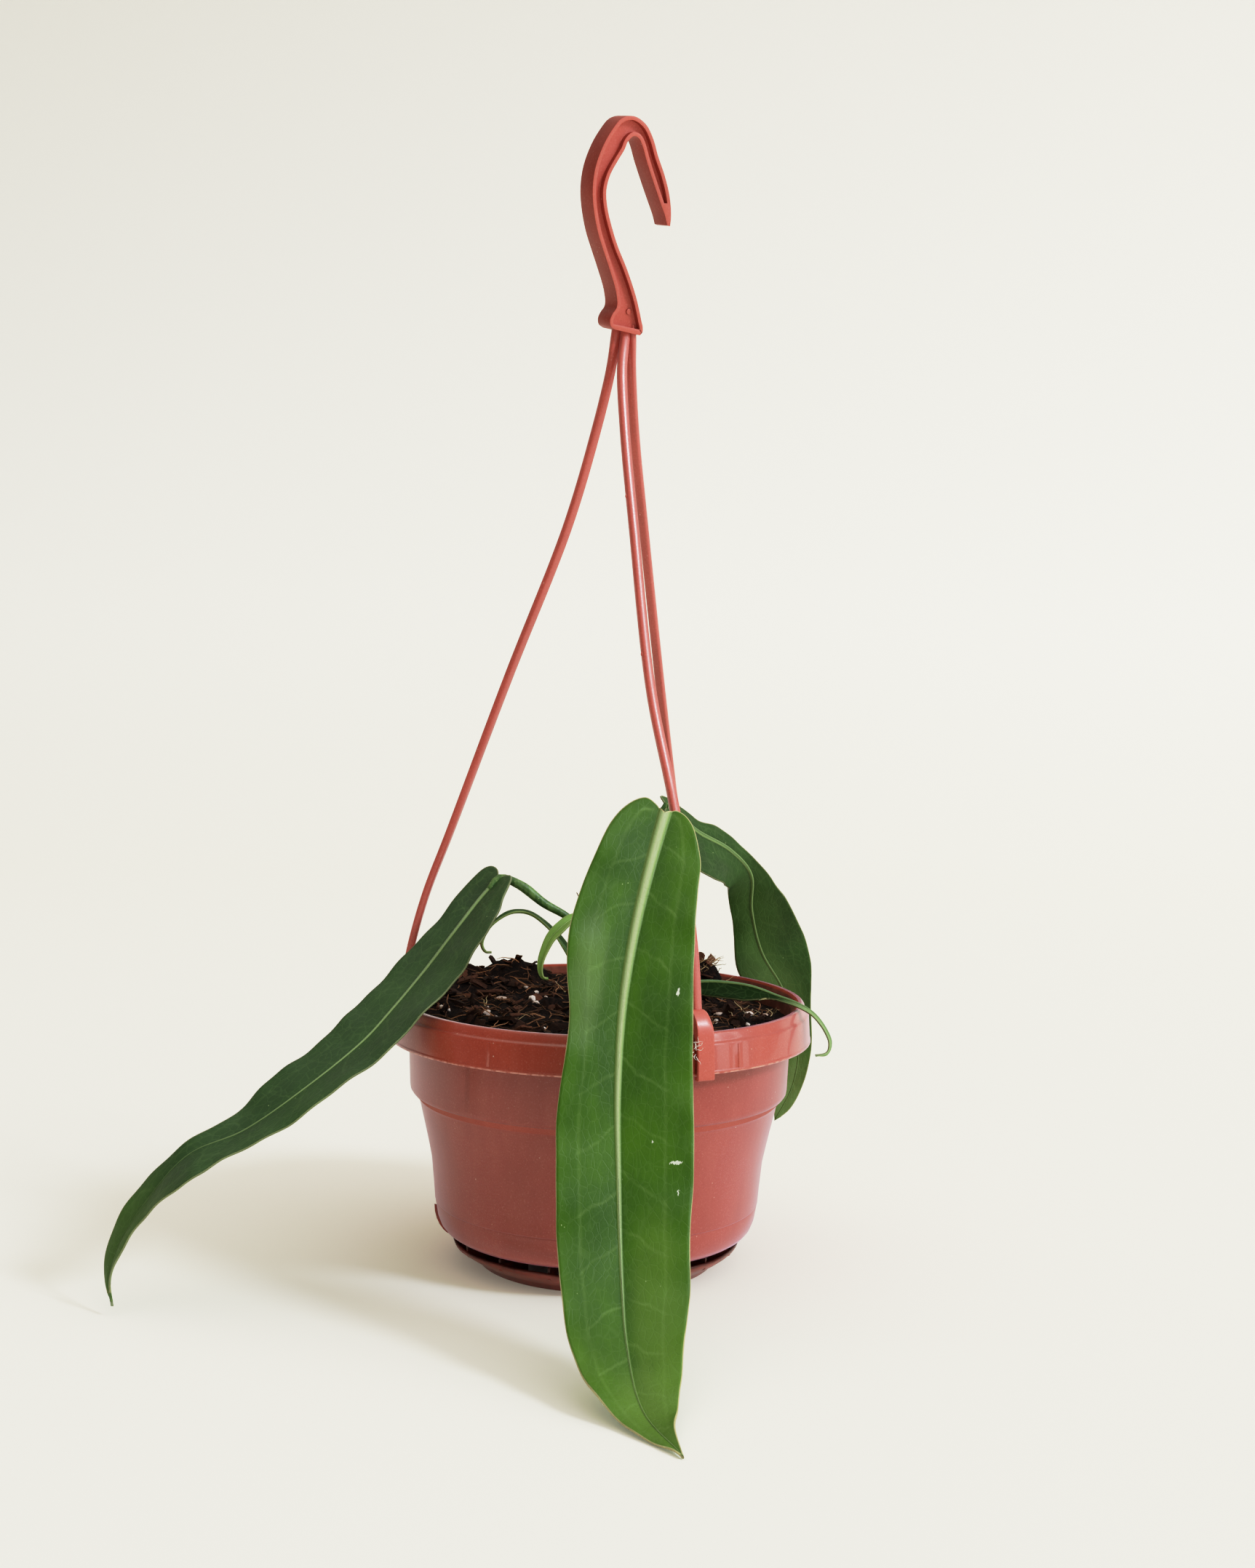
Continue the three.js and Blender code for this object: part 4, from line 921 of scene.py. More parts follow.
for name, angle in clip_angles.items():
    path = SmoothPath(strap_points[name])
    frames = [
        frame @ around(strap_turns[name] * (1 - k / strap_steps))
        for k, frame in enumerate(stations(path, [1, 1], strap_steps, outward(angle)))
    ]
    strap = sweep(f"hanger_strap_{name}", frames, 20, strap_section)
    nubs = [nub(path, height, outward(angle - 90)) for height in nub_heights[name]]
    strap = join(strap.name, [strap, *nubs])
    smooth(strap, 50)
    dress(strap, strap_plastic_painted_light, "hanger_plastic", "hanger")

# %% Clips
clip_width = 6.2
clip_shift = 0.3  # to the right of the strap, seen from outside
clip_section = [
    (65.9, 91.6), (67, 91.6), (68.1, 93.2), (69, 94.4), (69.9, 95.3), (71.8, 95.3), (73.1, 94.4),
    (73.7, 92.2), (74.7, 91), (75.3, 86), (75.4, 81), (74.2, 81), (74.2, 79.8), (76.4, 79.8), (76.9, 80.3),
    (76.9, 81.4), (76.6, 86.4), (76.2, 91.6), (76, 94.4), (75.7, 96.4), (75.1, 98.1), (74.3, 99.6),
    (73.2, 101.1), (71.9, 102.2), (70.7, 102.6), (69.7, 102.2), (68.2, 98.6), (66.6, 94.8),
]
clip_neck = 95.3  # the bend over the rim starts at this height
clip_bend = 7  # its height
shoulder_drop = 2.4
shoulder_start = 0.8  # from the middle of the clip, where the round shoulder begins

for name, angle in clip_angles.items():
    clip = plate(f"hanger_clip_{name}", clip_section, clip_width, layers=14)
    for corner in clip.data.vertices:
        rise = max(0.0, corner.co.z / MM - clip_neck) / clip_bend
        aside = max(0.0, corner.co.y / MM - shoulder_start) / (clip_width / 2 - shoulder_start)
        corner.co.z -= shoulder_drop * rise * (1 - math.sqrt(max(0.0, 1 - aside**2))) * MM
    soften(clip, 0.35)
    place(clip, around(angle) @ Matrix.Translation((0, clip_shift * MM, 0)))
    dress(clip, hanger_plastic, "hanger_plastic", "hanger")

# %% [markdown]
# ## Finishes of the leaves
#
# The blade is leathery and satin. Its midrib is pale and stands up on both faces. Side
# veins leave it every 18 mm or so and run forward into a collecting vein that follows
# the margin, and the margin itself is a thin pale line. The pattern must follow the
# blade, so each blade carries an attribute with three lengths for every point: the
# distance along the midrib, the distance from it, and the distance to the margin. A
# second one says how far across the midrib's own width the point lies.

# %% Leaf finish
vein_spacing = 18.4
vein_start = 23.6
vein_slant = 0.68
collecting_share = 0.64  # of the half width
leaf_green = (104, 138, 66)


def side_veins(along, beside, shift, spacing):
    """Distance to the nearest side vein, measured along the midrib."""
    steps = (along - beside * vein_slant + shift) / spacing
    return abs(steps.math("FRACT") - 0.5) * spacing


def leaf_finish(
    name, deep, fresh, rib, length, roughness=0.42, gloss=0.4, veins_seen=0.3,
    tip_tone=(112, 144, 62), tip_seen=0.25, tip_from=0.72, edge_seen=0.85, grain=0.12,
    marks=(), patches=(),
):
    finish = Finish(name, specular_ior_level=gloss)
    leaf = finish.attribute("leaf")
    rib_share = finish.attribute("rib", "Fac")
    along, across, margin = finish.parts(leaf)
    beside = abs(across)
    half = beside + margin
    right_side = finish.step(across, 0.2, -0.2)

    def cloud(size, detail=2, where=leaf, twist=0.0):
        return finish.noise(size, where, detail, unit=1, twist=twist)

    def away(spot_along, spot_across, long, wide, frayed=0.0):
        """The square of the distance from the middle of a spot, which is 1 at its edge."""
        away_u = (along - spot_along + frayed) / long
        away_v = (across - spot_across + frayed) / wide
        return away_u * away_u + away_v * away_v

    # Veins: side veins, the collecting vein that they run into, and a fine net
    shift = (cloud(17) - 0.5) * 8 + right_side * 4.6
    inside = finish.step(beside / half, 0.74, 0.6)
    main = side_veins(along, beside, shift - vein_start, vein_spacing)
    minor = side_veins(along, beside, shift * 1.6 + 3, vein_spacing / 3)
    main_line = finish.step(main, 1.0, 0.1) * inside
    minor_line = finish.step(minor, 0.6, 0.05) * inside
    scallop = cloud(22, 1) * 0.1 - 0.05
    collect_line = finish.step(abs(beside - half * (scallop + collecting_share)), 0.9, 0.1)
    net = finish.cells(2.3, "DISTANCE_TO_EDGE", finish.stretch((0.6, 1, 0), leaf), unit=1)
    net_line = finish.step(net, 0.09, 0.0)
    patchy = cloud(9, 3)
    veins = main_line * 0.5 + minor_line * 0.06 + collect_line * 0.35
    veins = veins * (patchy * 1.6 - 0.2)

    # Colour: patches of tone and of painted light and sheen, streaks along the blade, a fresher margin
    streaks = cloud(4.5, 3, finish.stretch((0.09, 1, 0), leaf))
    fine = cloud(0.9)
    blend = cloud(34) + (patchy - 0.5) * 0.3 + (streaks - 0.5) * 0.3
    finish.colours(finish.step(blend, 0.2, 0.85), deep, fresh)
    for *spot, tone, seen in patches:
        finish.lay(finish.step(away(*spot) + (streaks - 0.5) * 0.6, 1.0, 0.0) * seen, tone)
    finish.lay(finish.step(margin, 7.0, 1.0) * 0.3, fresh)
    finish.lay(finish.step(rib_share, 2.6, 1.1) * 0.4, deep)
    finish.lay(fine * grain, leaf_green)
    finish.lay(net_line * 0.08, (118, 150, 92))
    finish.lay(veins * veins_seen, (150, 182, 112))
    tip = finish.step(along, tip_from * length, (tip_from + 0.18) * length)
    finish.lay(tip * tip_seen, tip_tone)

    # Midrib, margin line, pale specks and healed scars
    rib_fade = 1 - finish.step(along, 0.4 * length, 0.94 * length) * 0.76
    rib_line = finish.step(rib_share, 1.25, 0.75) * rib_fade
    finish.lay(rib_line, finish.mix(finish.step(rib_share, 0.95, 0.1), (134, 158, 96), rib))
    edge_tone = finish.mix(cloud(12), (150, 128, 80), (206, 208, 160))
    finish.lay(finish.step(margin, 0.36, 0.18) * edge_seen, edge_tone)
    specks = finish.step(finish.cells(3.6, where=leaf, unit=1), 0.075, 0.04)
    specks = specks * finish.step(cloud(13), 0.56, 0.66)
    finish.lay(specks * 0.7, (180, 200, 140))
    frayed = (cloud(0.8) - 0.5) * 1.5
    for mark in marks:
        finish.lay(finish.step(away(*mark, frayed), 1.0, 0.5) * 0.9, (226, 232, 212))

    creases = cloud(3.2, 4, finish.stretch((1, 0.28, 0), leaf), 0.8)
    relief = net_line * -0.2 + veins * -0.45 + fine * 0.3 + creases * (tip * 1.6 + 0.2)
    finish.surface(roughness=roughness + patchy * 0.12 + fine * 0.05 - rib_line * 0.04 + specks * 0.2)
    finish.bump(relief + rib_line * 0.3, 0.15)
    return finish


def underside(name, shade, rib, length):
    """The lower face is paler, with the same veins and a stronger midrib."""
    return leaf_finish(name, shade, leaf_green, rib, length, 0.5, 0.35, 0.35)


# Where a mark lies along and across the blade, and its half length and half width
front_marks = (
    (62, -17.3, 1.7, 0.5), (118.2, -18.2, 0.55, 2.2), (127.4, -18.5, 1.0, 0.35), (111.3, -11, 0.5, 0.4),
)
# The same for a patch, with its tone and how much of it is seen
front_patches_and_sheen = (
    # Painted reflection: the pale grey patch left of the midrib stands for the sheen on it.
    (62, 13, 27, 8, (158, 176, 136), 0.2),
    (70, 4, 52, 5.5, (20, 52, 12), 0.34),
    (68, -13, 50, 11, (22, 58, 12), 0.26),
    (168, -11, 46, 12, (112, 148, 52), 0.4),
    (206, -2, 26, 12, (118, 146, 72), 0.34),
)
back_painted_light_patches = (
    # Painted light: a lighter patch where the bend faces down into shade, and pale patches of painted sheen
    # below it.
    (82, 2, 26, 18, (92, 130, 60), 0.4),
    (122, 4, 34, 14, (108, 140, 78), 0.34),
    (160, 0, 20, 8, (140, 160, 110), 0.4),
)
grown_front = leaf_finish(
    "leaf_front_face", (42, 78, 8), (70, 110, 10), (170, 183, 142), 228,
    gloss=0.32, marks=front_marks, patches=front_patches_and_sheen,
)
# Painted shade: the left and back leaves get darker copies, the left one bluer as a painted sky reflection.
grown_left_shaded = leaf_finish(
    "leaf_left_shaded_face", (29, 56, 27), (43, 76, 32), (124, 146, 110), 200,
    veins_seen=0.12, edge_seen=0.35,
)
grown_back_shaded = leaf_finish(
    "leaf_back_shaded_face", (26, 50, 12), (42, 74, 22), (92, 118, 72), 170,
    roughness=0.5, gloss=0.25, veins_seen=0.1, edge_seen=0.4, patches=back_painted_light_patches,
)
# Painted shade: the small right leaf's face is almost black-green, for the shade on its hanging half.
small_right = leaf_finish(
    "leaf_small_right_face", (9, 30, 2), (20, 50, 5), (104, 132, 92), 74,
    roughness=0.55, gloss=0.12, veins_seen=0.03, grain=0.02, edge_seen=0.2,
    tip_tone=(138, 162, 112), tip_seen=0.9, tip_from=0.5,
)
small_left = leaf_finish(
    "leaf_small_left_face", (44, 78, 34), (64, 100, 44), (88, 122, 70), 57,
    veins_seen=0.03, edge_seen=0.1, tip_tone=(164, 140, 98), tip_seen=0.95,
)
young_face = leaf_finish(
    "leaf_young_face", (96, 136, 50), (136, 172, 84), (158, 188, 112), 41,
    veins_seen=0.1, edge_seen=0.3,
)
grown_under = underside("leaf_under", (78, 116, 46), (160, 186, 110), 200)
young_under = underside("leaf_young_under", (104, 142, 58), (160, 190, 108), 60)


def margin_finish(name, brown, pale):
    finish = Finish(name, roughness=0.5)
    finish.colours(finish.noise(9), brown, pale)
    return finish


pale_margin = margin_finish("leaf_margin", (146, 124, 78), (200, 202, 150))
# Painted shade: a dimmer copy of the margin for the leaves in shade.
shaded_margin = margin_finish("leaf_dim_margin", (88, 96, 60), (136, 150, 104))
print("leaf finishes:", len([m for m in bpy.data.materials if m.name.startswith("leaf")]))

# %% Stalk finish
def stalk_finish(name, shade, light):
    finish = Finish(name, roughness=0.42, specular_ior_level=0.45)
    streaks = finish.noise(1.2, finish.stretch((1, 1, 0.2)))
    finish.colours(finish.step(streaks * 0.5 + finish.noise(9) * 0.5, 0.4, 0.62), shade, light)
    finish.lay(finish.step(finish.cells(1.5), 0.16, 0.08) * 0.5, (190, 206, 150))
    finish.bump(streaks, 0.1)
    return finish


grown_stalk = stalk_finish("leaf_stalk", (62, 96, 44), (104, 136, 72))
young_stalk = stalk_finish("leaf_young_stalk", (84, 118, 56), (132, 162, 88))
print("stalk finishes:", grown_stalk.material.name, "and", young_stalk.material.name)

# %% [markdown]
# ## The leaves
#
# A blade is a thin sheet that hangs in a long curve, so a grid is laid on it point by
# point: each row of the grid joins the left edge, the midrib and the right edge. The
# rows start behind the base, which gives the two lobes. Columns crowd towards the
# midrib, where the ridge needs them. The sheet is waved a little, and Solidify gives it
# its thickness through a vertex group, thicker where the midrib runs.

# %% Laying a blade
blade_thickness = 0.6


class Blade:
    def __init__(self, leaf):
        self.leaf = leaf
        self.midrib, self.left, self.right = (SmoothPath(leaf[k]) for k in ("midrib", "left", "right"))
        self.length = self.midrib.length

    def frame_at(self, along):
        held = np.clip(along, 0, self.length)
        ahead = self.midrib.direction(held, self.leaf["calm"])
        centre = self.midrib.along(held) + ahead * (along - held)[:, None]
        shares, *ways = np.array(self.leaf["facing"], float).T
        looks = np.stack([np.interp(held / self.length, shares, way) for way in ways], 1)
        across = np.cross(ahead, looks)
        across /= np.linalg.norm(across, axis=1, keepdims=True)
        return centre, across, np.cross(across, ahead)

    def measure(self, row, side):
        """Distances along and from the midrib of the grid points, row 0 to 1, side -1 to 1."""
        rib = self.length * (0.004 + 0.996 * row ** self.leaf["spread"])
        edge = np.where((side < 0)[:, None], self.left.at(row), self.right.at(row))
        share = np.abs(side)
        return rib + (edge[:, 0] - rib) * share, edge[:, 1] * share

    def lay(self, along, across_distance, share):
        centre, across, out = self.frame_at(along)
        fold = math.radians(self.leaf["fold"])
        lift = np.abs(across_distance) * math.sin(fold) * (1 - 0.25 * share)
        return centre + across * (across_distance * math.cos(fold))[:, None] + out * lift[:, None], out

    def margin(self):
        """Points along the left and the right edge."""
        row = np.linspace(0, 1, 900)
        ends = [np.full(len(row), end) for end in (-1.0, 1.0)]
        return np.vstack([self.lay(*self.measure(row, side), np.abs(side))[0] for side in ends])

    def rib_width(self, along):
        wide, slim = self.leaf["rib"]
        left = np.clip(1 - along / self.length, 0, 1)
        return slim + (wide - slim) * left**1.6


def crowd(side):
    return np.sign(side) * (0.3 * np.abs(side) + 0.7 * np.abs(side) ** 2.4)


def distance_to_margin(points, margin):
    nearest = np.full(len(points), np.inf)
    for part in np.array_split(margin, 24):
        away = np.linalg.norm(points[:, None, :] - part[None, :, :], axis=2)
        nearest = np.minimum(nearest, away.min(axis=1))
    return nearest


def wave_height(leaf, along, distance, half, side):
    """Slow waves that grow towards the margin, and a soft swell between the side veins."""
    size, length = leaf["wave"]
    turn = math.tau * along / length + np.where(side < 0, 0.0, 2.1)
    edge_wave = size * (np.abs(distance) / half) ** 2 * (np.sin(turn) + 0.5 * np.sin(2.3 * turn + 1))
    veins = (along - np.abs(distance) * vein_slant - vein_start) / vein_spacing
    veins += np.where(side < 0, 0, 0.25)
    share = np.clip(np.abs(distance) / half, 0, 1)
    swell = 0.16 * np.sin(math.pi * (veins % 1.0)) * np.sin(math.pi * share)
    fade = np.clip(along / 12, 0, 1)
    return (edge_wave + swell) * fade


def blade_piece(name, leaf):
    blade = Blade(leaf)
    columns, rows = leaf["grid"]
    grid = {"x_subdivisions": columns, "y_subdivisions": rows, "size": 1}
    piece = new_piece(name, bpy.ops.mesh.primitive_grid_add, **grid)
    flat = np.array([corner.co[:2] for corner in piece.data.vertices])
    side = crowd(2 * flat[:, 0])
    along, distance = blade.measure(flat[:, 1] + 0.5, side)
    points, out = blade.lay(along, distance, np.abs(side))
    to_margin = distance_to_margin(points, blade.margin())

    form = points.reshape((rows + 1, columns + 1, 3))
    normals = np.cross(np.gradient(form, axis=1), np.gradient(form, axis=0)).reshape(-1, 3)
    normals *= np.sign(np.sum(normals * out, axis=1, keepdims=True))
    normals /= np.linalg.norm(normals, axis=1, keepdims=True) + 1e-9
    half = np.abs(distance) + to_margin + 0.5
    points = points + normals * wave_height(leaf, along, distance, half, side)[:, None]
    piece.data.vertices.foreach_set("co", (points * MM).ravel())

    rib = np.abs(distance) / blade.rib_width(along)
    lengths = piece.data.attributes.new("leaf", "FLOAT_VECTOR", "POINT")
    lengths.data.foreach_set("vector", np.stack([along, distance, to_margin], 1).ravel())
    ribs = piece.data.attributes.new("rib", "FLOAT", "POINT")
    ribs.data.foreach_set("value", rib)

    ridge = np.clip(1 - rib**2, 0, 1) ** 0.7 * blade.rib_width(along) * 1.5
    thickness = blade_thickness + ridge
    thickest = float(thickness.max())
    group = piece.vertex_groups.new(name="thickness")
    for index, value in enumerate(thickness / thickest):
        group.add([index], float(value), "REPLACE")

    facing_out = sum(f.normal.dot(Vector(out[f.vertices[0]])) for f in piece.data.polygons)
    if facing_out < 0:
        with edit_mode(piece):
            bpy.ops.mesh.flip_normals()
    for finish in (leaf["face"], leaf["under"], leaf["margin"]):
        piece.data.materials.append(finish.material)
    settings = {"vertex_group": "thickness", "material_offset": 1, "material_offset_rim": 2}
    modify(piece, "SOLIDIFY", thickness=thickest * MM, offset=0, use_quality_normals=True, **settings)
    smooth(piece)
    print(name, "is", round(blade.length), "mm long and", round(2 * half.max()), "mm wide")
    return piece


# %% [markdown]
# The sizes of each leaf follow. A midrib is a list of points from the base to the tip,
# and facing gives the way the upper face looks at some shares of its length. An edge
# point is written as distance along the midrib and distance from it. The stalk comes up
# from the crown and ends under the base of the blade, thickened to a joint. What the
# three grown leaves share is written once, and so is what the three small ones share.

# %% The leaf in front
grown = {
    "fold": 12,
    "calm": 0.1,  # mm, over which the frame's turn is evened out
    "spread": 1.25,
    "under": grown_under,
    "margin": shaded_margin,
    "stalk_finish": grown_stalk,
    "slot": "leaf",
}
leaves = {}
leaves["leaf_front"] = grown | {
    "midrib": [
        (19.9, -54, 165.4), (14.9, -66, 148.2), (10.3, -77, 128.6), (7.1, -87, 107), (6, -97, 82.2),
        (6.7, -107, 58.2), (8, -121, 32.5), (10, -140, 14.9), (14.4, -161, 4.2), (25.3, -186.2, 0.8),
    ],
    "facing": [(0, 0, -0.9, 0.45), (0.6, 0, -0.85, 0.5), (1, 0, -0.45, 0.9)],
    "left": [
        (0, 0.6), (-2.6, 3.4), (-4, 7.2), (-2.2, 10.4), (2, 13.6), (9, 16.4), (20, 18.3), (36, 20.3),
        (49, 20.9), (61, 19), (72, 16.8), (84, 17.2), (104, 19.3), (130, 19.8), (152, 19.3), (172, 17.6),
        (190, 13.8), (204, 7.9), (216, 4), (228, 0.3),
    ],
    "right": [
        (0, -0.6), (-2, -3), (-1.4, -6), (1.4, -9.4), (7, -12.8), (16, -16.2), (26, -17.6), (38, -19.3),
        (54, -21.2), (70, -23), (86, -23.6), (104, -24.2), (122, -23.6), (140, -21.9), (160, -20.7),
        (177, -17.6), (193, -14), (207, -9), (217, -3.8), (228, -0.3),
    ],
    "rib": (2.2, 0.3),
    "wave": (0.9, 37),
    "grid": (72, 300),
    "face": grown_front,
    "margin": pale_margin,
    "stalk": [
        (14, -9.5, 81), (15, -12, 105), (17, -24, 136), (19, -41, 158.4), (20.2, -53, 165),
        (18.6, -57.6, 160.6),
    ],
    "radii": (1.9, 1.5, 1.3, 1.5, 1.9, 1.1),
}
print("written:", ", ".join(leaves))

# %% The leaf on the left
leaves["leaf_left"] = grown | {
    "midrib": [
        (-36.1, -8, 137.7), (-42.6, -12, 130.3), (-50.6, -19, 120), (-60.3, -28, 107.3), (-69.6, -38, 96.4),
        (-79, -46, 86.3), (-97.9, -56, 71.4), (-116.4, -60, 58.6), (-134.1, -62, 50.7), (-146.4, -63.4, 37),
        (-156.2, -66, 20.8), (-158.4, -70, 10.2), (-156.4, -75, 3.6),
    ],
    "facing": [(0, -0.45, -0.5, 0.74), (0.6, -0.45, -0.5, 0.74), (1, -0.75, -0.55, 0.35)],
    "left": [
        (0, 0.6), (-2.4, 3.6), (-2.4, 6.7), (-0.4, 8.7), (6, 9.5), (18, 9.7), (33, 11), (49, 12.7),
        (68, 14.3), (90, 13.7), (114, 12.8), (132, 7.4), (146, 5.2), (162, 6.8), (178, 6.6), (190, 4.4),
        (199, 0.3),
    ],
    "right": [
        (0, -0.6), (-1.4, -3), (-1.8, -5.8), (3.2, -10.1), (10, -13), (21, -17.3), (36, -19.8), (56, -19.8),
        (74, -17.2), (92, -15.3), (108, -14), (122, -12), (134, -12), (147, -14.2), (160, -10.4), (174, -5),
        (188, -3), (199, -0.3),
    ],
    "rib": (1.0, 0.22),
    "wave": (0.5, 33),
    "grid": (60, 260),
    "face": grown_left_shaded,
    "stalk": [
        (5.6, -3.4, 81), (3.6, -3.8, 104), (-3.2, -4.6, 116.6), (-12.4, -6, 124.2), (-20.4, -7, 128.8),
        (-28.9, -8, 135.2), (-36.3, -8.1, 137.6), (-39.6, -10.4, 133.8),
    ],
    "radii": (1.9, 1.5, 1.2, 1.3, 1.8, 1.1),
}
print("written:", ", ".join(leaves))

# %% The leaf at the back
leaves["leaf_back"] = grown | {
    "midrib": [
        (21.4, -12, 164.5), (26.9, -4, 159.8), (33.5, 5, 153.8), (46.3, 20, 145.6), (54.7, 32, 135.5),
        (56, 42, 121.1), (60.9, 51, 103.8), (69.4, 56, 89.4), (74.6, 57, 76), (76.3, 56, 64),
        (74, 53.6, 51.6), (67.4, 50, 39.1),
    ],
    "facing": [(0, 0.15, -0.75, 0.65), (0.25, 0.1, -0.9, 0.4), (0.5, 0, -1, 0.15), (1, 0, -1, 0)],
    "left": [
        (0, 0.6), (-2.4, 3.6), (3, 9), (15, 13.6), (29.5, 15.4), (42, 13.8), (54, 11.4), (68, 9.6),
        (82, 7.8), (90, 8.4), (104, 11.6), (122, 10.2), (140, 6.8), (156, 4.2), (166, 3), (170, 1.4),
    ],
    "right": [
        (0, -0.6), (-2.4, -2.9), (6, -4.8), (23, -4.4), (35, -5.8), (50, -4.2), (60, -4.6), (68, -8),
        (76, -13), (90, -16.3), (104, -17.2), (113, -14.8), (128, -7.8), (144, -4.8), (157, -3.6),
        (166, -2.8), (170, -1.2),
    ],
    "fold": 4,
    "calm": 8,
    "spread": 1.2,
    "rib": (1.0, 0.25),
    "wave": (0.5, 31),
    "grid": (60, 240),
    "face": grown_back_shaded,
    "stalk": [
        (18.6, 2.6, 81), (20.4, 3.4, 104), (19.6, -2.4, 136), (19.6, -10, 158), (21, -12.6, 164.4),
        (24.4, -7.6, 161.6),
    ],
    "radii": (1.9, 1.5, 1.3, 1.4, 1.8, 1.1),
}
print("written:", ", ".join(leaves))

# %% The three small leaves
young = {
    "calm": 0.1,
    "spread": 1,
    "rib": (0.5, 0.25),
    "wave": (0.12, 17),
    "grid": (28, 110),
    "face": young_face,
    "margin": young_face,
    "under": young_under,
    "stalk_finish": young_stalk,
    "slot": "leaf_light",
}


def even_edges(edge):
    """A left edge and its mirror image."""
    return {"left": edge, "right": [(along, -away) for along, away in edge]}


leaves["leaf_small_right"] = young | {
    "midrib": [
        (26.4, -7, 100), (35.5, -8.6, 102.2), (44.3, -11, 102.5), (52.8, -14, 101.8), (61, -18, 99.6),
        (69.1, -21.6, 97.2), (74, -24, 94.4), (77.8, -26, 89.8), (79.6, -28, 85.4), (78.4, -29.6, 81.9),
        (74, -31.6, 81.4),
    ],
    "facing": [(0, 0, -0.35, 1), (0.55, 0.1, -0.35, 1), (0.8, 0.9, -0.3, 0.5), (1, 0.5, -0.3, -0.5)],
    "left": [
        (0, 1), (3, 3), (8, 5.6), (16, 7.2), (27, 7), (32, 5), (35, 2.8), (42, 1.9), (56, 1.6), (66, 1),
        (72.5, 0.2),
    ],
    "right": [
        (0, -1), (3, -1.6), (8, -2), (16, -2.2), (28, -2.2), (40, -2.2), (50, -2.4), (60, -2), (66, -1.2),
        (72.5, -0.2),
    ],
    "fold": -32,
    "rib": (0.7, 0.2),
    "face": small_right,
    "margin": shaded_margin,
    "stalk": [(19.4, -6.2, 81), (20.6, -6.4, 92), (24, -6.8, 98.6), (27.4, -7.2, 101), (31, -7.9, 102)],
    "radii": (1.4, 1.2, 1, 1, 0.7),
}
small_left_edge = [(0, 1), (4, 1.4), (12, 1.8), (24, 1.7), (34, 1.4), (44, 1), (52, 0.7), (57, 0.2)]
leaves["leaf_small_left"] = young | even_edges(small_left_edge) | {
    "midrib": [
        (-6.6, -1, 102.6), (-12.2, -1.6, 111.4), (-17.8, -2.6, 118.4), (-24.5, -4, 124), (-29, -5, 125.2),
        (-33, -6, 124.6), (-38.2, -7.4, 121.2), (-40.8, -8.4, 117.6), (-41.8, -9, 114), (-40.6, -9, 111.6),
        (-38.6, -8, 111.2),
    ],
    "facing": [
        (0, -0.3, -0.5, 0.6), (0.4, 0, -0.25, 1), (0.6, -0.4, -0.25, 0.8), (0.8, -0.9, -0.4, 0.2),
        (1, -0.4, -0.4, -0.6),
    ],
    "fold": 25,
    "rib": (0.35, 0.2),
    "face": small_left,
    "stalk": [(7, 3.6, 81), (4, 2.6, 91), (-2.6, 0.2, 98), (-7.2, -1.1, 103.6), (-9.8, -1.4, 107.6)],
    "radii": (1.4, 1.1, 1, 1, 0.7),
}
young_edge = [(0, 0.9), (4, 1.8), (10, 2.7), (20, 2.6), (29, 1.8), (36, 1), (40, 0.3)]
leaves["leaf_young"] = young | even_edges(young_edge) | {
    "midrib": [
        (1.6, -17.2, 121), (-5.6, -19.6, 124.8), (-9.9, -22, 125.2), (-13.6, -25, 123), (-17, -27, 119.6),
        (-19, -29, 115.8), (-20.4, -31, 111.4), (-20.4, -32, 108.4), (-19.5, -32, 106.6),
        (-17.9, -31, 106.2),
    ],
    "facing": [(0, -0.4, -0.5, 0.9), (0.5, -0.6, -0.8, 0.5), (1, -0.5, -0.8, -0.2)],
    "fold": 20,
    "stalk": [(9.4, -9.4, 81), (8, -11, 98), (6, -14.2, 112), (1, -17.2, 121.4), (-2, -18.4, 123.6)],
    "radii": (1.3, 1.1, 1, 0.9, 0.7),
}
print("written:", ", ".join(leaves))

# %% Blades and stalks
for name, leaf in leaves.items():
    dress(blade_piece(f"{name}_blade", leaf), None, leaf["slot"], name)
    path = SmoothPath(leaf["stalk"])
    stalk = sweep(f"{name}_stalk", stations(path, leaf["radii"], 44), sides=16)
    soften(stalk, 0.3, angle=60)
    dress(stalk, leaf["stalk_finish"], leaf["slot"], name)

# %% [markdown]
# ## The sheath and the crown
#
# Beside the youngest stalk stands a dry sheath, the brown remains of the scale that
# wrapped it. The stalks meet in a short crown with rings of old scars. The sheath is
# swept with a flat section, and the crown is turned and roughened.

# %% Sheath and crown
dry = Finish("dry_sheath", roughness=0.75, specular_ior_level=0.2)
fibres = dry.noise(0.8, dry.stretch((1, 1, 0.12)), 4)
dry.colours(dry.step(fibres, 0.35, 0.7), (92, 62, 40), (186, 156, 118))
dry.lay(dry.step(dry.noise(4), 0.4, 0.7) * 0.6, (150, 112, 82))
dry.bump(fibres, 0.25)

sheath_points = [
    (4.4, -8.8, 81), (3, -9.6, 100), (-1.4, -10.8, 117), (-5.6, -11.8, 127), (-9, -12.4, 133.6),
]
sheath_radii = (1.5, 1.3, 1, 0.7, 0.3)


def flat_ring(ring):
    return Vector((ring.x, ring.y * 0.62, 0))


def roughen(corner, grain, depth):
    corner.co += noise.noise_vector(corner.co / MM * grain) * depth * MM


sheath_frames = stations(SmoothPath(sheath_points), sheath_radii, 50)
sheath = sweep("dry_sheath", sheath_frames, sides=14, shape=flat_ring)
for corner in sheath.data.vertices:
    roughen(corner, 0.5, 0.16)
soften(sheath, 0.1, angle=60)
dress(sheath, dry, "dry_sheath", "cataphyll")

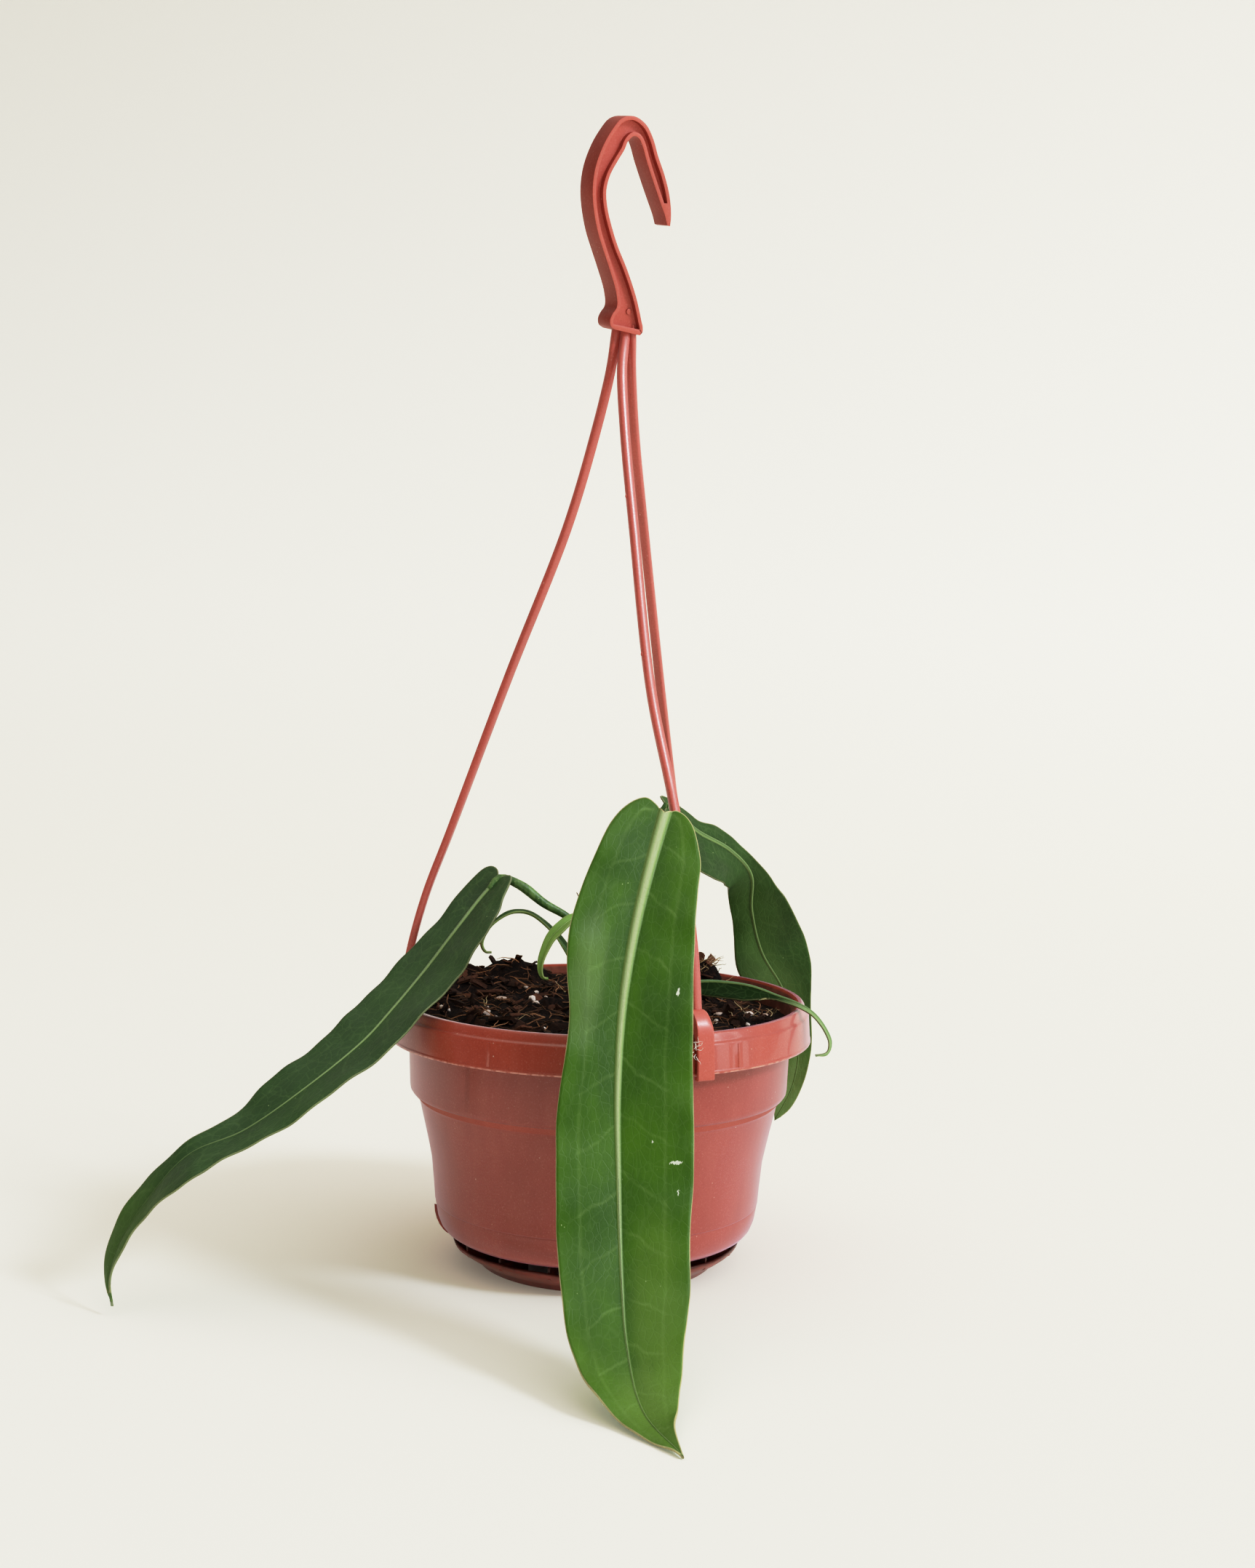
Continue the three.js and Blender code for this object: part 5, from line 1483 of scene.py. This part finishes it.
crown_centre = Vector((12, -2, 0))
crown_foot, crown_top = 81, 98.4
ring_step = 1.75
crown_profile = [(0, crown_foot), (4, crown_foot)]
for k in range(8):
    ring_height = crown_foot + 1 + k * ring_step
    swell = 4.45 - max(0.0, ring_height - 92) * 0.55
    crown_profile += [(swell, ring_height), (swell + 0.25, ring_height + 0.7)]
    crown_profile.append((swell - 0.3, ring_height + 1.2))
crown_profile += [(1.2, crown_top - 0.5), (0, crown_top)]
crown = turned("stem_crown", crown_profile, steps=48)
for corner in crown.data.vertices:
    roughen(corner, 0.6, 0.35)
place(crown, Matrix.Translation(crown_centre * MM))
smooth(crown, 72)
dress(crown, dry, "dry_sheath", "crown")

# %% [markdown]
# ## The potting mix
#
# The mix is dark coir with bark, perlite and dry root bits. It fills the pot, lies lower
# on the right, and heaps up against the wall at the back left. The body is turned as one
# closed form, and its top is then raised by the same height function as the solid, with
# finer noise and a few clods. Bark, fibres and perlite lie on it as pieces of their own:
# a few of each are modelled, and seeded copies are strewn and joined.

# %% Height of the mix
mix_level = 88
mix_rise = 3.8
mix_radius, mix_border = 66, 6
high_side = math.radians(125)
mound = (37.5, 41, 9, 11.5)  # x, y, size and height
clods = (
    (-49, 40, 8.5, 5.4), (-40, 48, 9, 6.6), (-31, 54, 7.5, 6.4), (-54, 30, 7, 3.6), (-22, 57, 6, 2.4),
    (-44, 30, 6, 2.6), (-33, 38, 6.5, 2.4), (26, 44, 7, 3.4), (43, 38, 5.5, 3.2), (-10, 50, 7, 1.6),
)
lump_count, lump_reach = 120, 62
seed, seed_factor, seed_limit = 20417, 16807, 2147483647


def next_share():
    global seed
    seed = seed * seed_factor % seed_limit
    return seed / seed_limit


lumps = []
for _ in range(lump_count):
    radius, angle = lump_reach * math.sqrt(next_share()), math.tau * next_share()
    size, rise = 2.6 + 3.4 * next_share(), -0.8 + 3 * next_share()
    turn, long = math.pi * next_share(), 1 + 1.2 * next_share()
    lumps.append((radius * math.cos(angle), radius * math.sin(angle), size, rise, turn, long))


def mix_height(x, y):
    radius = math.hypot(x, y)
    high = max(0.0, math.cos(math.atan2(y, x) - high_side))
    level = mix_level + mix_rise * high**1.5 * radius / mix_radius
    z = level + 1.8 * math.exp(-((x - crown_centre.x) ** 2 + (y - crown_centre.y) ** 2) / 500)
    z += 0.6 * math.sin(x * 0.13 + 1) * math.cos(y * 0.11)
    for lump_x, lump_y, size, rise, turn, long in lumps:
        dx, dy = x - lump_x, y - lump_y
        cos, sin = math.cos(turn), math.sin(turn)
        u, v = (dx * cos + dy * sin) / long, dy * cos - dx * sin
        d = (u * u + v * v) / size**2
        if d < 1:
            z += rise * (1 - d) ** 2
    for clod_x, clod_y, size, rise in (mound, *clods):
        z += rise * math.exp(-((x - clod_x) ** 2 + (y - clod_y) ** 2) / size**2)
    edge = max(0.0, (radius - mix_radius + mix_border) / mix_border)
    z = z * (1 - edge) + level * edge
    return z + 1.5 * noise.fractal(Vector((x, y, 7)) / 5, 0.9, 2.1, 5) * (1 - edge * 0.6)


print("mix at the middle:", round(mix_height(0, 0), 2), "mm high")

# %% Body of the mix
wall_rows = [
    (0, 13.2), (49.7, 13.2), (53.1, 14.8), (54.6, 17.6), (55.5, 21.8), (56.2, 29.4), (57.3, 40),
    (59.1, 49.6), (60.7, 56.3), (64, 61), (64.7, 62.2), (65.1, 66), (65.6, 79), (65.8, 83),
]
mix_edge = 66.4
top_rings = 84
top_rows = [(mix_edge * (1 - k / top_rings), mix_level) for k in range(top_rings + 1)]
soil = turned("mix_body", wall_rows + top_rows, steps=200)
for corner in soil.data.vertices:
    if corner.co.z > (mix_level - 1) * MM:
        corner.co.z = mix_height(corner.co.x / MM, corner.co.y / MM) * MM
        roughen(corner, 0.9, 0.35)
smooth(soil)

mix_dark = Finish("mix_dark", roughness=0.95, specular_ior_level=0.15)
crumb = mix_dark.noise(1.6, detail=6, rough=0.7)
threads = mix_dark.noise(1.1, detail=5, twist=3.0)
mix_dark.colours(mix_dark.step(crumb, 0.42, 0.78), (14, 9, 8), (58, 38, 29))
mix_dark.lay(mix_dark.step(threads, 0.6, 0.72) * 0.4, (96, 62, 46))
mix_dark.lay(mix_dark.step(mix_dark.noise(8), 0.45, 0.7) * 0.5, (28, 19, 17))
mix_dark.bump(crumb + threads * 0.5, 1.1)
dress(soil, mix_dark, "mix", "potting_mix")

# %% [markdown]
# Loose bits are copied from a few models. Each copy keeps a random number as the
# attribute "tone", and the finish reads it, so no two neighbours look the same.

# %% Strewing copies
draw = random.Random(31)


def strew(name, models, spots, finish):
    """Copies the models to the spots, each with its own tone, and joins them to one piece."""
    copies = []
    for number, (matrix, tone) in enumerate(spots):
        copy = models[number % len(models)].copy()
        copy.data = copy.data.copy()
        copy.data.transform(matrix)
        tones = copy.data.attributes.new("tone", "FLOAT", "POINT")
        tones.data.foreach_set("value", [tone] * len(copy.data.vertices))
        bpy.context.collection.objects.link(copy)
        copies.append(copy)
    for model in models:
        bpy.data.objects.remove(model)
    piece = join(name, copies)
    smooth(piece, 50)
    dress(piece, finish, "mix", "potting_mix")


def drawn_spot(reach):
    """A spot drawn evenly over the mix: its place and its distance from the middle."""
    radius, angle = reach * math.sqrt(draw.random()), draw.uniform(0, math.tau)
    return radius * math.cos(angle), radius * math.sin(angle), radius


def lying(x, y, lift, spin, tilt, lean, size):
    """The place of a loose bit on the mix, turned by spin and tipped by tilt and lean."""
    centre = Vector((x, y, mix_height(x, y) + lift)) * MM
    turn = Matrix.Rotation(spin, 4, "Z") @ Matrix.Rotation(tilt, 4, "X") @ Matrix.Rotation(lean, 4, "Y")
    return Matrix.Translation(centre) @ turn @ Matrix.Diagonal((*size, 1))


def thread(points, radii, steps, sides):
    """A model of a thread, whose points are given in its own length."""
    piece = sweep("thread", stations(SmoothPath(points), radii, steps, (0, 0, 1)), sides)
    place(piece, Matrix.Diagonal((1 / MM, 1 / MM, 1 / MM, 1)))
    return piece


def toned(name, dark, light, grain, roughness=0.9, depth=0.3):
    finish = Finish(name, roughness=roughness, specular_ior_level=0.2)
    streak = finish.noise(grain, detail=4)
    finish.colours(finish.attribute("tone", "Fac") * 0.75 + streak * 0.35 - 0.05, dark, light)
    finish.bump(streak, depth)
    return finish


# %% Bark
bark_count = 330
bark_models = []
for k in range(7):
    chip = new_piece("bark", bpy.ops.mesh.primitive_cube_add, size=1)
    with edit_mode(chip):
        bpy.ops.transform.resize(value=(1.0, 0.34 + 0.08 * (k % 3), 0.16))
        bpy.ops.mesh.subdivide(number_cuts=2)
        bpy.ops.transform.vertex_random(offset=0.08, uniform=1.0, normal=0.0, seed=k + 1)
        bpy.ops.mesh.vertices_smooth(factor=0.35)
    bark_models.append(chip)
bark_spots = []
for _ in range(bark_count):
    x, y, radius = drawn_spot(61)
    long = draw.uniform(3, 7) + (4 if draw.random() < 0.12 else 0)
    long = min(long, 2 * (65.5 - radius) + 2.5)
    size = (long * MM, long * MM * draw.uniform(0.7, 1.3), long * MM * draw.uniform(0.7, 1.2))
    matrix = lying(x, y, 0.25, draw.uniform(0, math.pi), draw.gauss(0, 0.6), draw.gauss(0, 0.5), size)
    bark_spots.append((matrix, draw.random() ** 2.4))
strew("mix_bark", bark_models, bark_spots, toned("bark", (14, 9, 8), (104, 66, 48), 0.9))

# %% Fibres
fibre_count = 520
fibre_models = []
for k in range(8):
    bend = random.Random(50 + k)
    points = [(0, 0, 0)]
    heading = 0.0
    for _ in range(5):
        heading += bend.uniform(-0.45, 0.45)
        x, y, z = points[-1]
        forward, aside = 0.2 * math.cos(heading), 0.2 * math.sin(heading)
        points.append((x + forward, y + aside, bend.uniform(-0.03, 0.05)))
    centred = np.array(points) - np.array(points).mean(axis=0)
    fibre_models.append(thread(centred, (0.016, 0.02, 0.016, 0.008), 9, 5))
fibre_spots = []
for number in range(fibre_count):
    x, y, radius = drawn_spot(60)
    long = min(draw.uniform(5, 13), 2 * (64.5 - radius) + 4)
    tilt = draw.gauss(0, 0.4)
    standing = number % 9 == 0
    lean = draw.uniform(-0.9, 0.9) if standing else draw.gauss(0, 0.25)
    matrix = lying(x, y, 0.7, draw.uniform(0, math.tau), tilt, lean, (long * MM,) * 3)
    fibre_spots.append((matrix, draw.random() ** 2))
fibre_finish = toned("fibre", (52, 32, 23), (178, 128, 92), 1.5, 0.8, 0.05)
strew("mix_fibres", fibre_models, fibre_spots, fibre_finish)

# %% Perlite
perlite_count = 46  # besides the ones that the photograph shows
perlite_models = []
for k in range(4):
    lump = new_piece("perlite", bpy.ops.mesh.primitive_ico_sphere_add, subdivisions=3, radius=0.5)
    for corner in lump.data.vertices:
        swell = noise.noise(corner.co * 2.6 + Vector((k * 7, 0, 0))) * 0.34
        pits = noise.noise(corner.co * 8 + Vector((0, k * 5, 0))) * 0.07
        corner.co *= 1 + swell + pits
    perlite_models.append(lump)
# Where the photograph shows a lump: x, y, size, flatness and tone
perlite_seen = (
    (-24.6, 13.9, 2.7, 0.95, 1.0), (-23.5, 26.5, 2.3, 0.5, 0.8), (-36.2, 14.4, 4.2, 0.5, 0.35),
    (-40.5, -8.6, 3.9, 0.55, 0.5), (-32.1, -23.3, 3.3, 0.8, 0.9), (-56.4, -1.2, 2.2, 0.7, 1.0),
    (-53.9, -2.9, 2.1, 0.7, 0.9), (-19.6, 9.2, 1.7, 0.8, 0.6), (-16.7, 39.9, 2.9, 0.6, 0.5),
    (-55.1, 30.5, 3.2, 0.6, 0.3), (-27.5, 29.5, 1.8, 0.7, 0.6), (44.6, 30.5, 2.6, 0.6, 0.9),
    (53.5, 2.7, 3.6, 0.55, 0.8), (40.8, -12, 1.8, 0.9, 1.0), (42, -1, 3.2, 0.4, 0.25),
    (58.3, -3.1, 3.4, 0.4, 0.1),
)
perlite_spots = []
for x, y, size, flat, tone in perlite_seen:
    scale = (size * MM, size * 0.85 * MM, size * flat * MM)
    perlite_spots.append((lying(x, y, size * flat * 0.3, draw.uniform(0, 6), 0.2, 0.1, scale), tone))
for _ in range(perlite_count):
    x, y, radius = drawn_spot(61)
    size = draw.uniform(0.8, 2.4)
    scale = (size * MM, size * 0.8 * MM, size * 0.65 * MM)
    perlite_spots.append((lying(x, y, 0.1, draw.uniform(0, 6), 0, 0, scale), draw.uniform(0.2, 1)))
perlite_finish = toned("perlite", (150, 120, 104), (246, 232, 222), 1.2, 0.85, 0.25)
strew("mix_perlite", perlite_models, perlite_spots, perlite_finish)

# %% Dry roots and white threads
def root_models(count):
    models = []
    for k in range(count):
        bend = random.Random(90 + k)
        points = [(0, 0, 0)]
        heading = bend.uniform(0, math.tau)
        for _ in range(6):
            heading += bend.uniform(-1.1, 1.1)
            x, y, z = points[-1]
            forward, aside = 0.17 * math.cos(heading), 0.1 * math.sin(heading)
            points.append((x + forward, y + aside, z + 0.13 * bend.random()))
        models.append(thread(points, (0.02, 0.026, 0.018, 0.008), 16, 6))
    return models


mound_size, tuft_size, fluff_size = ((length * MM,) * 3 for length in (6.6, 6.5, 3.1))
tufts = ((62, 8), (60.5, 3), (57, -2), (-30, -20), (-22, -14), (-41, 2), (52, 8), (48, -6), (-13, 22))

root_spots = []
for _ in range(44):
    x, y = mound[0] + draw.gauss(0, 3.6), mound[1] + draw.gauss(0, 3.2)
    tilt = draw.gauss(0, 0.9)
    root_spots.append((lying(x, y, -0.4, draw.uniform(0, 6), tilt, 0, mound_size), draw.random() * 0.6))
for x, y in tufts:
    for _ in range(2):
        root_spots.append((lying(x, y, 0, draw.uniform(0, 6), 0.2, 0, tuft_size), draw.uniform(0.4, 1)))
root_finish = toned("dry_root", (128, 96, 66), (206, 184, 142), 1.5, 0.7, 0.05)
strew("mix_roots", root_models(5), root_spots, root_finish)

# White threads that are caught at the left edge of the front clip
fluff_spots = []
for _ in range(12):
    caught = Vector((31 + draw.gauss(0, 0.6), -72.3, 91 + draw.gauss(0, 1.7))) * MM
    spin = around(clip_angles["front"]) @ Matrix.Rotation(math.pi / 2, 4, "Y")
    spin = spin @ Matrix.Rotation(draw.uniform(0, math.tau), 4, "Z")
    fluff_spots.append((Matrix.Translation(caught) @ spin @ Matrix.Diagonal((*fluff_size, 1)), 0.8))
fluff_finish = toned("fluff", (240, 236, 228), (255, 253, 250), 1.5, 0.9, 0.05)
strew("mix_fluff", root_models(3), fluff_spots, fluff_finish)
